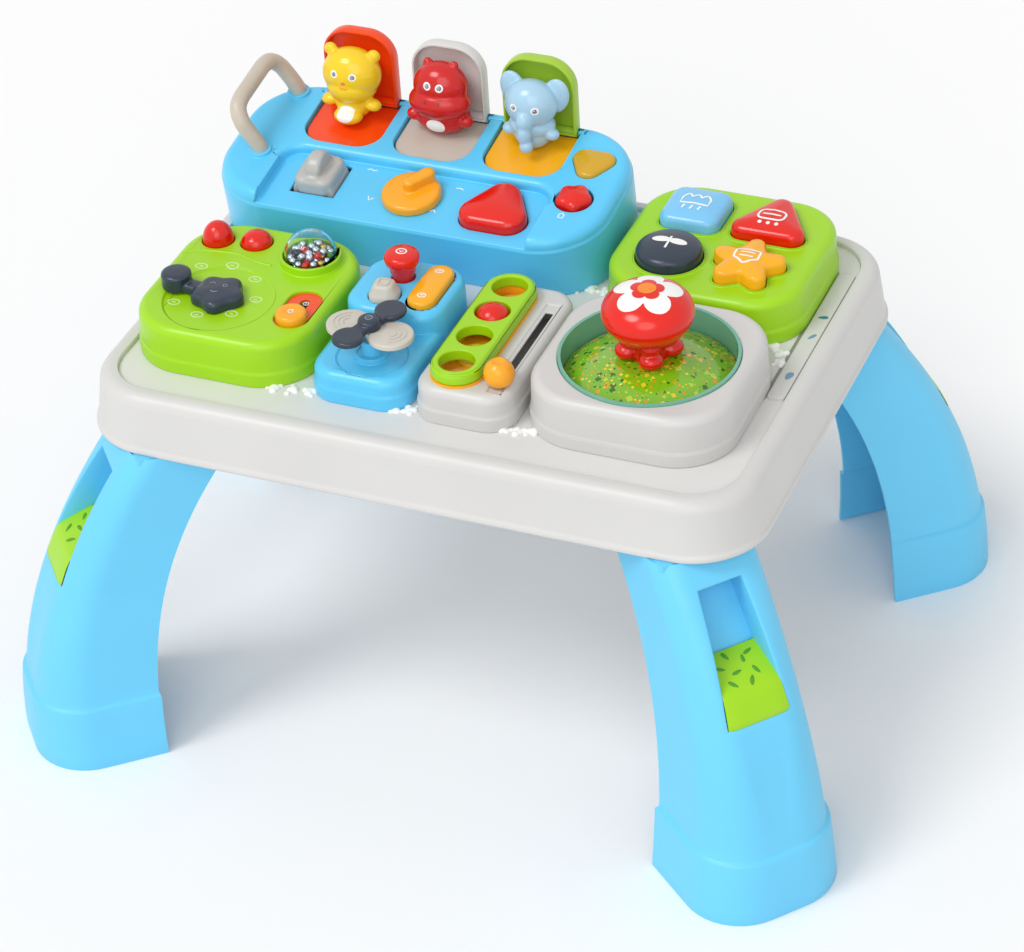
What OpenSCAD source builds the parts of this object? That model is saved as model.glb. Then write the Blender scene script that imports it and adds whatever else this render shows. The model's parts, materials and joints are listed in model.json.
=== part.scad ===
/* [Table top] */
// Length of the table top over its lip
top_length = 440; // [430:2:460]
// Depth of the table top over its lip
top_depth = 317; // [312:1:330]
// Height of the underside of the table top above the floor
tray_z = 217; // [180:1:260]
// Height of the moulded tray
tray_height = 39; // [34:1:48]
// Corner radius of the lip
tray_corner_r = 48; // [40:1:60]
// Draft angle of the tray's side wall
tray_draft = 8; // [3:0.5:9]
// Radius of the soft edge round the top of the tray
tray_edge_r = 9; // [5:0.5:11]
// Wall thickness of the tray
tray_wall = 3; // [2:0.25:4]
// Width of the bead along the bottom of the tray
lip_width = 1.6; // [0.8:0.2:2.5]
// Height of the bead along the bottom of the tray
lip_height = 3; // [2:0.5:5]
// Distance from the lip to the sunk deck
rim_width = 17.5; // [16:0.5:19]
// Depth of the sunk deck below the rim
deck_drop = 5.4; // [4:0.2:8]
// Thickness of the white deck insert
insert_thick = 2.4; // [1.6:0.2:3]
// Thickness of the closing plate under the tray
under_thick = 3; // [2:0.25:4]

/* [Legs] */
// Direction in which each leg flares, measured from the long side
leg_angle = 40; // [36:1:45]
// Wall thickness of the leg
leg_wall = 3; // [2.4:0.2:4]
// Height of the thicker foot band
foot_height = 45; // [30:1:60]
// Half width of the leg at the foot
foot_half_width = 50; // [44:1:56]
// Reach of the leg at the foot, outward from the table's corner
foot_reach = 61; // [52:1:68]
// Half width of the leg where it meets the table
knee_half_width = 34; // [30:1:38]
// Width of the window at its top
window_top_w = 31; // [24:1:34]
// Width of the window at its bottom
window_low_w = 44; // [38:1:48]
// Height of the bottom of the window above the floor
window_low_z = 128; // [115:1:135]
// Height of the top of the window above the floor
window_top_z = 203; // [190:1:206]
// Depth of the pocket behind the window
window_depth = 26; // [20:1:32]

/* [Modules] */
// Gap between the modules in the front row
module_gap = 2.5; // [2:0.5:3]
// Gap between the front row and the back row
row_gap = 4; // [3:0.5:6]
// Wall thickness of every module housing
wall = 2.6; // [2:0.2:3.4]
// Distance from the front of the deck to the front row
front_margin = 23; // [18:1:26]
// Width of the ledge round the foot of a housing
ledge = 1; // [0.6:0.2:1.6]
// Height of the ledge round the foot of a housing
ledge_height = 9; // [6:0.5:11]
// Depth that a push button travels
press_travel = 3; // [2:0.25:4]
// Loose clearance round a moving button
clear = 0.4; // [0.3:0.05:0.6]
// Radial clearance of a turning shaft
run_fit = 0.05; // [0.03:0.01:0.1]

/* [Dial module] */
// Width of the dial module
dial_w = 122; // [116:1:122]
// Depth of the dial module
dial_d = 130; // [122:1:132]
// Height of the dial module
dial_h = 31; // [26:1:36]
// Corner radius of the dial module
dial_corner_r = 38; // [30:1:42]
// Radius of the round dial recess
dial_recess_r = 35; // [30:1:36]
// Length of the crank from its hub to its knob
crank_length = 31; // [28:0.5:31.5]
// Radius of the crank's hub
crank_hub_r = 15; // [12:1:17]
// Radius of the crank's knob
crank_knob_r = 10; // [8:0.5:11]
// Radius of the posts that the turning parts sit on
post_r = 3; // [2.5:0.25:3.5]
// Radius of the red push domes
dome_r = 10; // [8:0.5:10.5]
// Height of the left dome above the module
dome_left_h = 13; // [10:0.5:15]
// Height of the right dome above the module
dome_right_h = 8; // [7:0.5:10]
// Radius of the clear rattle ball
ball_r = 17; // [14:0.5:17.5]
// Length of travel of the slide switch
switch_travel = 20; // [14:1:22]
// Radius of the slide switch's disc
switch_disc_r = 10; // [8:0.5:10.5]

/* [Propeller module] */
// Width of the propeller module
prop_w = 68; // [66:1:69]
// Depth of the propeller module
prop_d = 118; // [115:1:119]
// Height of the front deck of the propeller module
prop_low_h = 21; // [18:1:24]
// Height of the back deck of the propeller module
prop_high_h = 35; // [33:1:38]
// Depth of the back deck of the propeller module
prop_high_d = 64; // [62:0.5:65]
// Corner radius of the propeller module
prop_corner_r = 19; // [15:1:24]
// Radius over the tips of the propeller
blade_r = 27; // [22:1:27]
// Width of a propeller blade
blade_w = 16; // [12:1:17]
// Thickness of a propeller blade
blade_thick = 4; // [3:0.5:5]
// Radius of the propeller's hub
blade_hub_r = 6; // [5:0.5:8]
// Radius of the red knob's head
red_knob_r = 11; // [9:0.5:11.5]
// Height of the red knob above the deck
red_knob_h = 18; // [14:1:20]
// Radius of the grey knob
grey_knob_r = 10; // [8:0.5:10.5]
// Height of the grey knob above the deck
grey_knob_h = 9; // [7:1:11]
// Width of the yellow rocker
rocker_w = 18; // [15:1:18]
// Length of the yellow rocker
rocker_l = 46; // [40:1:47]
// Tilt of the rocker to each side
rocker_tilt = 4; // [2:0.5:5]

/* [Slider module] */
// Width of the slider module
slide_w = 64; // [63:1:65]
// Depth of the slider module
slide_d = 128; // [122:1:130]
// Height of the slider module
slide_h = 24; // [20:1:28]
// Corner radius of the slider module
slide_corner_r = 18; // [14:1:22]
// Width of the green pod panel
pod_w = 33; // [32.5:0.5:34]
// Length of the green pod panel
pod_l = 116; // [114:1:117]
// Height of the pod panel above the module
pod_h = 8; // [6:0.5:10]
// Radius of the round holes in the pod
pod_hole_r = 11; // [9.5:0.25:11.5]
// Distance between the pod's holes
pod_pitch = 28; // [26:0.5:28.5]
// Number of holes in the pod
pod_holes = 4; // [4]
// Radius of the slider's ball knob
slider_ball_r = 9.5; // [8:0.5:10]
// Length of travel of the slider's knob
slider_travel = 78; // [60:1:80]

/* [Mushroom module] */
// Width of the mushroom module
ring_w = 130; // [126:1:132]
// Depth of the mushroom module
ring_d = 128; // [124:1:130]
// Height of the mushroom module
ring_h = 33; // [30:1:36]
// Corner radius of the mushroom module
ring_corner_r = 38; // [32:1:42]
// Outer radius of the clear bowl
bowl_r = 55; // [52:0.5:55.5]
// Wall thickness of the clear bowl
bowl_wall = 2; // [1.6:0.2:2.6]
// Height of the edge of the turning floor above the deck
floor_h = 15; // [12:0.5:17]
// Rise of the hill in the turning floor
hill_rise = 14; // [10:0.5:15]
// Radius of the mushroom's cap
cap_r = 28; // [24:1:30]
// Height of the top of the mushroom above the deck
cap_top_h = 79; // [74:1:84]

/* [Shape module] */
// Width of the shape module
shape_w = 130; // [128:1:132]
// Depth of the shape module
shape_d = 126; // [124:1:127]
// Height of the shape module
shape_h = 31; // [27:1:34]
// Corner radius of the shape module
shape_corner_r = 36; // [30:1:40]
// Distance between the shape buttons
shape_pitch = 52; // [50:0.5:54]
// Height of the shape buttons above the module
shape_rise = 12; // [9:0.5:14]
// Side of the square button
square_side = 40; // [36:1:42]
// Radius of the round button
round_r = 21; // [18:0.5:22]
// Radius over the points of the star button
star_r = 24; // [21:0.5:25]
// Radius over the corners of the triangle button
triangle_r = 26; // [22:0.5:27]

/* [Pop-up module] */
// Width of the pop-up module
pop_w = 267; // [260:1:268]
// Overhang of the pop-up module past the left edge of the dial module
pop_over = 10.5; // [6:0.5:12]
// Depth of the pop-up module along its slope
pop_d = 120; // [118:1:121]
// Height of the front edge of the pop-up module's top plane
pop_front_h = 43.5; // [41:0.5:48]
// Slope of the pop-up module's top
pop_slope = 8; // [6:0.5:9]
// Corner radius of the pop-up module
pop_corner_r = 44; // [36:1:50]
// Depth of the front shelf below the top plane
shelf_drop = 7; // [5:0.5:9]
// Depth of the front shelf from the front edge
shelf_depth = 55; // [52:1:58]
// Distance between the pop-up lids
lid_pitch = 62.5; // [60:0.5:63]
// Width of a pop-up lid
lid_w = 50; // [44:1:51]
// Length of a pop-up lid from its hinge
lid_l = 52; // [50:0.5:54]
// Width of the pocket under a lid
pocket_w = 54; // [52:0.5:56]
// Reach of the pocket in front of its hinge
pocket_reach = 49; // [48.5:0.5:51]
// Radius of the hinge rod
rod_r = 1.6; // [1.2:0.1:2]
// Radius of the carrying handle's tube
handle_r = 5.4; // [4.6:0.2:6]
// Distance between the feet of the handle
handle_span = 62; // [56:1:66]
// Height of the handle along its own slant
handle_rise = 29; // [26:1:34]
// Slant of the handle away from the table
handle_slant = 30; // [20:1:35]

/* [Hidden] */
$fn = 64;
eps = 0.01;

// Colours of the plastics
BLUE = "#6FC6F5";
GREEN = "#9AD414";
GREY = "#CFCBC6";
WHITE = "#F4F4F2";
NAVY = "#273445";
RED = "#E2281B";
ORANGE = "#F04E14";
AMBER = "#FDB113";
PALE = "#A9CFE6";
STEEL = "#B8BCC0";

// Levels and outline of the sunk deck
seat_z = tray_z + tray_height - deck_drop;
deck_z = seat_z + insert_thick;
hollow_h = tray_height - deck_drop - tray_wall;
deck_l = top_length - 2 * rim_width;
deck_d = top_depth - 2 * rim_width;
deck_r = tray_corner_r - rim_width;

// Places of the modules on the deck
row_x = -deck_l / 2 + 1;
row_y = -deck_d / 2 + front_margin;
dial_x = row_x + dial_w / 2;
prop_x = row_x + dial_w + module_gap + prop_w / 2;
slide_x = prop_x + (prop_w + slide_w) / 2 + module_gap;
ring_x = slide_x + (slide_w + ring_w) / 2 + module_gap;
dial_y = row_y + dial_d / 2;
prop_y = row_y + prop_d / 2;
slide_y = row_y + slide_d / 2;
ring_y = row_y + ring_d / 2;
shape_x = ring_x + (ring_w - shape_w) / 2;
shape_y = row_y + ring_d + row_gap + shape_d / 2;
pop_x = row_x - pop_over + pop_w / 2;
pop_y = row_y + dial_d + row_gap + pop_front_h * sin(pop_slope);

// Soft edges of the housings
edge = 6;
pop_edge = 7;
// Length of a retaining flange below a button's wall, and its extra radius
flange = 1.4;
flange_grow = 1.2;
// Seat gap between pieces of one body that face each other
seat = 0.1;

// ---- shared shapes

// Rectangle with round corners, centred
module rounded(l, d, r) {
    square([l - 2 * r, d], center = true);
    square([l, d - 2 * r], center = true);
    for (x = [-1, 1], y = [-1, 1]) translate([x * (l / 2 - r), y * (d / 2 - r)]) circle(r);
}

// Capsule outline whose straight run lies along Y
module capsule(l, w) {
    square([w, l - w], center = true);
    for (y = [-1, 1]) translate([0, y * (l - w) / 2]) circle(w / 2);
}

// Points of an arc round a centre
function arc(centre, r, from, to, steps = 12) =
    [for (k = [0 : steps]) let (t = from + (to - from) * k / steps) centre + r * [cos(t), sin(t)]];

// Triangle with round points
module triangle_2d(r, grow = 0, tip = 8) polygon([for (k = [0 : 2]) let (a = 90 + 120 * k)
    each arc((r - tip) * [cos(a), sin(a)], tip + grow, a - 60, a + 60)]);

// Star with five round arms that taper to their tips
module star_2d(r, grow = 0, tip = 6) {
    reach = r - tip;
    core = r / 2 + grow;
    lean = acos((core - tip - grow) / reach);
    polygon([for (k = [0 : 4]) let (a = 90 + 72 * k) each concat(
        arc(reach * [cos(a), sin(a)], tip + grow, a - lean, a + lean),
        [core / cos(lean - 36) * [cos(a + 36), sin(a + 36)]])]);
}

// Wall outline from a corner's centre outwards: foot ledge, drafted wall and soft top edge
module wall_profile(r, h, soft, draft = 2, foot = 0, foot_h = 0) {
    x0 = r - foot;
    z0 = foot_h + foot;
    xc = x0 - (soft + (h - soft - z0) * sin(draft)) / cos(draft);
    polygon([[0, 0], [r, 0], [r, foot_h], [x0, z0],
        [xc + soft * cos(draft), h - soft + soft * sin(draft)], [xc, h - soft], [xc, h], [0, h]]);
    translate([xc, h - soft]) circle(soft);
}

// Block with round corners whose wall follows the outline given as its child
module block_around(l, d, r, h) {
    a = l / 2 - r;
    b = d / 2 - r;
    corners = [[a, b], [-a, b], [-a, -b], [a, -b]];
    starts = [[a, -b], [a, b], [-a, b], [-a, -b]];
    translate([-a, -b, 0]) cube([2 * a, 2 * b, h]);
    for (k = [0 : 3]) {
        translate(corners[k]) rotate([0, 0, 90 * k]) rotate_extrude(angle = 90) children();
        translate(starts[k]) rotate([0, 0, 90 * k]) rotate([90, 0, 0]) mirror([0, 0, 1])
            linear_extrude(k % 2 == 0 ? 2 * b : 2 * a) children();
    }
}

// Outer block and inner space of a housing that is open below
inner_edge = 2;
module housing_block(l, d, r, h) block_around(l, d, r, h) wall_profile(r, h, edge, 2, ledge, ledge_height);
module housing_space(l, d, r, h) translate([0, 0, -eps])
    block_around(l - 2 * (wall + ledge), d - 2 * (wall + ledge), r - wall - ledge, h - wall)
        wall_profile(r - wall - ledge, h - wall, inner_edge);
module housing(l, d, r, h) difference() {
    housing_block(l, d, r, h);
    housing_space(l, d, r, h);
}

// Round button: body with a soft top, its stem through the wall and a retaining flange below
module round_button_body(r, rise, soft, t = wall) {
    rotate_extrude() {
        translate([0, -t - flange]) square([r - soft, rise + t + flange]);
        translate([0, -t - flange]) square([r, rise - soft + t + flange]);
        translate([r - soft, rise - soft]) circle(soft);
        translate([0, -t - flange - seat]) square([r + flange_grow, flange]);
    }
}

// Half profile of a squashed ball from its bottom to its top
function dome_points(r, b, from = -90, steps = 16) =
    [for (k = [0 : steps]) let (t = from + (90 - from) * k / steps) [r * cos(t), b * sin(t)]];

// ---- table top

module tray_top() color(GREY) translate([0, 0, tray_z]) difference() {
    block_around(top_length, top_depth, tray_corner_r, tray_height)
        wall_profile(tray_corner_r, tray_height, tray_edge_r, tray_draft, lip_width, lip_height);
    translate([0, 0, tray_height - deck_drop]) linear_extrude(tray_height) rounded(deck_l, deck_d, deck_r);
    inset = tray_wall + lip_width;
    translate([0, 0, -eps]) block_around(top_length - 2 * inset, top_depth - 2 * inset, tray_corner_r - inset,
        hollow_h + eps)
            wall_profile(tray_corner_r - inset, hollow_h + eps, tray_edge_r - tray_wall, tray_draft);
}

module deck_insert() color(WHITE) translate([0, 0, seat_z]) linear_extrude(insert_thick)
    rounded(deck_l - clear, deck_d - clear, deck_r - clear / 2);

// Battery bay, speaker and board places on the closing plate
bay = [74, 58, 20];
bay_x = -30;
door_thick = 2;
speaker_x = 80;
speaker_r = 20;
speaker_h = 12;
grille_pitch = 6;
board = [80, 60, 1.6];
board_x = -130;
standoff = 6;
tie_r = 4;
ties = [for (x = [-1, 1], y = [-1, 1]) [x * (top_length / 2 - 60), y * 40]];
screw_r = 1.6;
boss_r = 4.5;
boss_h = 9;

module tray_underside() color(GREY) translate([0, 0, tray_z]) difference() {
    inset = tray_wall + lip_width + under_thick * tan(tray_draft) + clear / 2;
    union() {
        linear_extrude(under_thick)
            rounded(top_length - 2 * inset, top_depth - 2 * inset, tray_corner_r - inset);
        translate([bay_x, 0, bay[2] / 2]) cube([bay[0] + 4, bay[1] + 4, bay[2]], center = true);
        for (p = ties) translate(p) cylinder(r = tie_r, h = hollow_h);
        for (x = [-1, 1], y = [-1, 1])
            translate([board_x + x * (board[0] / 2 - 5), y * (board[1] / 2 - 5), 0])
                cylinder(r = 3, h = under_thick + standoff);
        leg_frames() for (v = [-1, 1]) translate([leg_screw_u, v * leg_screw_v, 0])
            cylinder(r = boss_r, h = boss_h);
    }
    translate([bay_x, 0, (bay[2] - 2) / 2 - eps]) cube([bay[0], bay[1], bay[2] - 2], center = true);
    leg_frames() for (v = [-1, 1]) translate([leg_screw_u, v * leg_screw_v, -eps])
        cylinder(r = screw_r + run_fit, h = boss_h - 1);
    translate([speaker_x, 0, -eps]) for (ring = [0 : 2], k = [0 : max(1, 6 * ring) - 1])
        rotate([0, 0, 60 * k / max(1, ring)]) translate([grille_pitch * ring, 0, 0])
            cylinder(r = 1.5, h = under_thick + 1, $fn = 24);
}

module battery_door() color(GREY) translate([bay_x, 0, tray_z]) difference() {
    linear_extrude(door_thick) rounded(bay[0] - clear, bay[1] - clear, 3);
    translate([0, -bay[1] / 2 + 7, -eps]) cylinder(r = 2, h = 1);
}

module speaker() color(NAVY) translate([speaker_x, 0, tray_z + under_thick]) rotate_extrude()
    polygon([[0, 1], [speaker_r - 3, 1], [speaker_r - 3, 0], [speaker_r, 0], [speaker_r, 2.5],
        [9, speaker_h - 4], [9, speaker_h], [0, speaker_h]]);

module circuit_board() color(GREEN) translate([board_x, 0, tray_z + under_thick + standoff]) {
    linear_extrude(board[2]) square([board[0], board[1]], center = true);
    translate([-8, 6, board[2]]) linear_extrude(2) square([16, 16], center = true);
    translate([24, -12, board[2]]) cylinder(r = 5, h = 9);
    translate([22, 14, board[2]]) linear_extrude(5) square([12, 8], center = true);
}

// ---- legs

// Anchor of a leg under the table's corner, and the frame that runs outward (u) and across (v)
leg_inset = 8;
leg_anchor = [top_length / 2 - leg_inset, top_depth / 2];
leg_screw_u = -62;
leg_screw_v = 16;
leg_plate = 4;
foot_step = 2.4;
leg_sweep = 84;
heel = 17.5;
heel_sweep = 72;
leg_rings = 13;
arc_steps = 6;

module leg_frame(sx, sy) mirror([sx < 0 ? 1 : 0, 0, 0]) mirror([0, sy < 0 ? 1 : 0, 0])
    translate(leg_anchor) rotate([0, 0, leg_angle]) children();
module leg_frames() for (sx = [-1, 1], sy = [-1, 1]) leg_frame(sx, sy) children();

// Outline of the leg's section at height z, as reach, heel, half width and corner radius
function leg_out(z) = foot_reach - foot_step - leg_sweep * pow(z / tray_z, 2.1);
function leg_heel(z) = -heel - heel_sweep * pow(z / tray_z, 2.6);
function leg_half(z) = knee_half_width
    + (foot_half_width - foot_step - knee_half_width) * pow(1 - z / tray_z, 1.6);
function leg_corner(z) = 17 + 18 * (1 - z / tray_z);
function u_path(out, back, half, r) = concat([[back, -half]],
    [for (k = [0 : arc_steps]) let (t = 90 * k / arc_steps) [out - r + r * sin(t), -half + r - r * cos(t)]],
    [for (k = [0 : arc_steps]) let (t = 90 * k / arc_steps) [out - r + r * cos(t), half - r + r * sin(t)]],
    [[back, half]]);
function leg_ring(z, grow) = let (p = u_path(leg_out(z) + grow, leg_heel(z) - grow / 2, leg_half(z) + grow,
        leg_corner(z) + grow), q = u_path(leg_out(z) + grow - leg_wall, leg_heel(z) - grow / 2,
        leg_half(z) + grow - leg_wall, leg_corner(z) + grow - leg_wall))
    concat([for (a = p) [a[0], a[1], z]], [for (a = q) [a[0], a[1], z]]);

// Shell through a stack of rings, each an outer path followed by an inner path of n points
module ring_shell(rings, n) {
    m = 2 * n;
    last = len(rings) - 1;
    side = [for (j = [0 : last - 1], k = [0 : n - 2]) each [
        [j * m + k, (j + 1) * m + k, (j + 1) * m + k + 1, j * m + k + 1],
        [j * m + n + k, j * m + n + k + 1, (j + 1) * m + n + k + 1, (j + 1) * m + n + k]]];
    ends = [for (j = [0 : last - 1]) each [
        [j * m, j * m + n, (j + 1) * m + n, (j + 1) * m],
        [j * m + n - 1, (j + 1) * m + n - 1, (j + 1) * m + m - 1, j * m + m - 1]]];
    caps = [for (k = [0 : n - 2]) each [
        [k, k + 1, n + k + 1, n + k],
        [last * m + k, last * m + n + k, last * m + n + k + 1, last * m + k + 1]]];
    polyhedron(points = [for (r = rings) each r], faces = concat(side, ends, caps), convexity = 6);
}

// Solid between two flanks at v = -w and v = w, given as [back, front, half width, z] stations
module tapered_post(stations) {
    last = len(stations) - 1;
    polyhedron(points = [for (s = stations) each [[s[0], -s[2], s[3]], [s[1], -s[2], s[3]],
        [s[1], s[2], s[3]], [s[0], s[2], s[3]]]],
        faces = concat([[0, 1, 2, 3], [4 * last + 3, 4 * last + 2, 4 * last + 1, 4 * last]],
            [for (j = [0 : last - 1], k = [0 : 3]) [4 * j + k, 4 * j + 4 + k, 4 * j + 4 + (k + 1) % 4,
                4 * j + (k + 1) % 4]]), convexity = 4);
}

function window_half(z) = (window_low_w + (window_top_w - window_low_w) * (z - window_low_z)
    / (window_top_z - window_low_z)) / 2;
function window_z(t) = window_low_z + t * (window_top_z - window_low_z);

module leg(sx, sy) color(BLUE) leg_frame(sx, sy) difference() {
    union() {
        ring_shell(concat([leg_ring(0, foot_step), leg_ring(foot_height, foot_step)],
            [for (k = [0 : leg_rings - 1]) let (t = k / (leg_rings - 1))
                leg_ring(foot_height + 1 + t * (tray_z - foot_height - 1), 0)]), 2 * arc_steps + 4);
        tapered_post([for (t = [-0.04, 0.3, 0.6, 1.03]) let (z = window_z(t))
            [leg_out(z) - window_depth, leg_out(z) - leg_wall / 2, window_half(z) + leg_wall * 0.8, z]]);
        translate([leg_heel(tray_z) + 4, -knee_half_width + 1, tray_z - leg_plate])
            cube([leg_out(tray_z) - leg_heel(tray_z) - 14, 2 * knee_half_width - 2, leg_plate]);
    }
    tapered_post([for (t = [0, 0.33, 0.66, 1]) let (z = window_z(t))
        [leg_out(z) - window_depth + leg_wall * 0.8, leg_out(z) + 12, window_half(z), z]]);
    for (v = [-1, 1]) translate([leg_screw_u, v * leg_screw_v, tray_z - leg_plate - 1])
        cylinder(r = screw_r + run_fit, h = leg_plate + 2);
}

// Green hill in each leg's window
module leg_window_blocks() color(GREEN) leg_frames() {
    back = window_depth - leg_wall * 0.8 - 0.3;
    low = window_low_z + 0.1;
    mid = window_z(0.33);
    front_z = window_low_z + 20;
    back_z = window_low_z + 30;
    outline = [[leg_out(low) - back, low], [leg_out(low) - 0.6, low], [leg_out(front_z) - 0.6, front_z],
        [leg_out(front_z) - 6, front_z + 5], [leg_out(back_z) - back, back_z], [leg_out(mid) - back, mid]];
    n = len(outline);
    polyhedron(points = [for (v = [-1, 1], p = outline) [p[0], v * (window_half(p[1]) - 0.3), p[1]]],
        faces = [[for (k = [0 : n - 1]) k], [for (k = [0 : n - 1]) 2 * n - 1 - k],
            for (k = [0 : n - 1]) [k, n + k, n + (k + 1) % n, (k + 1) % n]]);
}

module screws() color(STEEL) {
    leg_frames() for (v = [-1, 1]) translate([leg_screw_u, v * leg_screw_v, tray_z - leg_plate]) {
        cylinder(r = screw_r, h = leg_plate + boss_h - 2);
        translate([0, 0, -2.2 - seat]) cylinder(r = 3.2, h = 2.2 + seat);
    }
}

// ---- dial module

dial_hub = [dial_x - 10, dial_y - 22];
crank_angle = 172;
crank_tip = crank_length * [cos(crank_angle), sin(crank_angle)];
dial_top = deck_z + dial_h;
dome_left_at = [dial_x - 40, dial_y + 39];
dome_right_at = [dial_x - 15, dial_y + 43];
ball_at = [dial_x + 27, dial_y + 34];
switch_at = [dial_x + 42, dial_y - 18];
recess_drop = 1.2;
crank_lift = 0.3;
crank_thick = 5;
crank_arm_z = 2;
crank_arm_h = 6;
post_h = 5.3;
switch_well = 3;
switch_floor = 1.6;
switch_slot = 6;
ball_wall = 1.4;
ball_rise = 4;
collar_r = ball_r + 2.6;
collar_h = 5.6;
pin_r = 1.2;
pin_end = ball_r + 1.8;

module switch_outline(grow = 0) capsule(switch_travel + 2 * switch_disc_r + 2 + 2 * grow,
    2 * switch_disc_r + 2 + 2 * grow);
module switch_slot_outline() capsule(switch_travel + switch_slot, switch_slot);

module dial_housing() color(GREEN) translate([0, 0, deck_z]) {
    difference() {
        union() {
            translate([dial_x, dial_y, 0]) housing(dial_w, dial_d, dial_corner_r, dial_h);
            translate([ball_at[0], ball_at[1], dial_h - wall]) cylinder(r = collar_r, h = wall + collar_h);
            translate([switch_at[0], switch_at[1], dial_h - switch_well - switch_floor])
                linear_extrude(switch_well) switch_outline(1.5);
        }
        translate([dial_hub[0], dial_hub[1], dial_h - recess_drop]) cylinder(r = dial_recess_r, h = 10);
        for (p = [dome_left_at, dome_right_at]) translate([p[0], p[1], dial_h - 2 * wall])
            cylinder(r = dome_r + clear, h = 20);
        translate([ball_at[0], ball_at[1], dial_h + ball_rise]) {
            sphere(ball_r + clear);
            rotate([0, 90, 0]) cylinder(r = pin_r + run_fit, h = 2 * pin_end + 0.4, center = true);
        }
        translate([switch_at[0], switch_at[1], dial_h - switch_well]) linear_extrude(10) switch_outline();
        translate([switch_at[0], switch_at[1], 5]) linear_extrude(dial_h) switch_slot_outline();
    }
    translate([dial_hub[0], dial_hub[1], dial_h - wall])
        cylinder(r = post_r, h = wall - recess_drop + post_h);
}

module dial_crank() color(NAVY) translate([dial_hub[0], dial_hub[1], dial_top - recess_drop + crank_lift])
    difference() {
        union() {
            linear_extrude(crank_thick) {
                circle(crank_hub_r);
                for (a = [-55, 55]) rotate(a) translate([crank_hub_r - 4, 0]) circle(6);
            }
            translate([0, 0, crank_thick]) cylinder(r1 = crank_hub_r, r2 = crank_hub_r - 6, h = 4);
            translate([0, 0, crank_arm_z]) linear_extrude(crank_arm_h) {
                rotate(crank_angle) translate([0, -6]) square([crank_length, 12]);
                translate(crank_tip) circle(crank_knob_r);
            }
        }
        translate([0, 0, -1]) cylinder(r = post_r + run_fit, h = post_h - crank_lift + 1.4);
    }

module dial_knob() color(NAVY) translate([crank_tip[0] + dial_hub[0], crank_tip[1] + dial_hub[1],
    dial_top - recess_drop + crank_lift + crank_arm_z + crank_arm_h]) rotate_extrude()
        polygon(concat([[0, 0]], dome_points(crank_knob_r, 5, 0, 8)));

module push_dome(p, rise) color(RED) translate([p[0], p[1], dial_top]) rotate_extrude() {
    translate([0, -wall - flange]) square([dome_r, wall + flange]);
    polygon(concat([[0, 0]], dome_points(dome_r, rise, 0, 12)));
    translate([0, -wall - flange - seat]) square([dome_r + flange_grow, flange]);
}

module rattle_ball() color([0.8, 0.9, 0.95, 0.4]) translate([ball_at[0], ball_at[1], dial_top + ball_rise])
    difference() {
        union() {
            sphere(ball_r);
            rotate([0, 90, 0]) cylinder(r = pin_r, h = 2 * pin_end, center = true);
        }
        sphere(ball_r - ball_wall);
    }

// Beads that lie in the ball, one in the middle and a ring round it
bead_r = 2.6;
bead_ring = 5.8;
bead_track = ball_r - ball_wall - bead_r - seat;
module rattle_beads() color(RED) translate([ball_at[0], ball_at[1], dial_top + ball_rise]) {
    translate([0, 0, -bead_track]) sphere(bead_r);
    for (k = [0 : 5]) rotate([0, 0, 60 * k]) translate([bead_ring, 0, -sqrt(pow(bead_track, 2)
        - pow(bead_ring, 2))]) sphere(bead_r);
}

module switch_plate() color(RED) translate([switch_at[0], switch_at[1], dial_top - switch_well])
    linear_extrude(1) difference() {
        switch_outline(-seat);
        switch_slot_outline();
    }

module switch_slider() color(AMBER) translate([switch_at[0], switch_at[1] - switch_travel / 2,
    dial_top - switch_well + 1 + seat]) {
        under = 1 + seat + switch_floor + 0.3;
        rotate_extrude() {
            square([switch_disc_r - 2, 7]);
            square([switch_disc_r, 5]);
            translate([switch_disc_r - 2, 5]) circle(2);
        }
        translate([0, 0, -under - 1]) cylinder(r = switch_slot / 2 - clear / 2, h = under + 2);
        translate([0, 0, -under - 1.6]) cylinder(r = 5, h = 1.6);
    }

// ---- propeller module

prop_low = deck_z + prop_low_h;
prop_high = deck_z + prop_high_h;
prop_high_y = row_y + prop_d - prop_high_d / 2;
prop_hub = [prop_x + 2, row_y + 28];
dish_r = 22;
blade_gap = 2.2;
blade_z = prop_high + blade_gap;
axle_depth = 2;
red_knob_at = [prop_x - 5, row_y + 94];
grey_knob_at = [prop_x - 8, row_y + 72];
rocker_at = [prop_x + 17, row_y + prop_d - prop_high_d / 2];
rocker_rise = 4.5;
rocker_gap = 0.6;
rocker_pin_r = 1.5;
rocker_pin_z = -wall - 2.5;
rocker_pin_half = rocker_w / 2 + rocker_gap + 2;
cheek = 2.4;
stem_r = 7;

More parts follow.
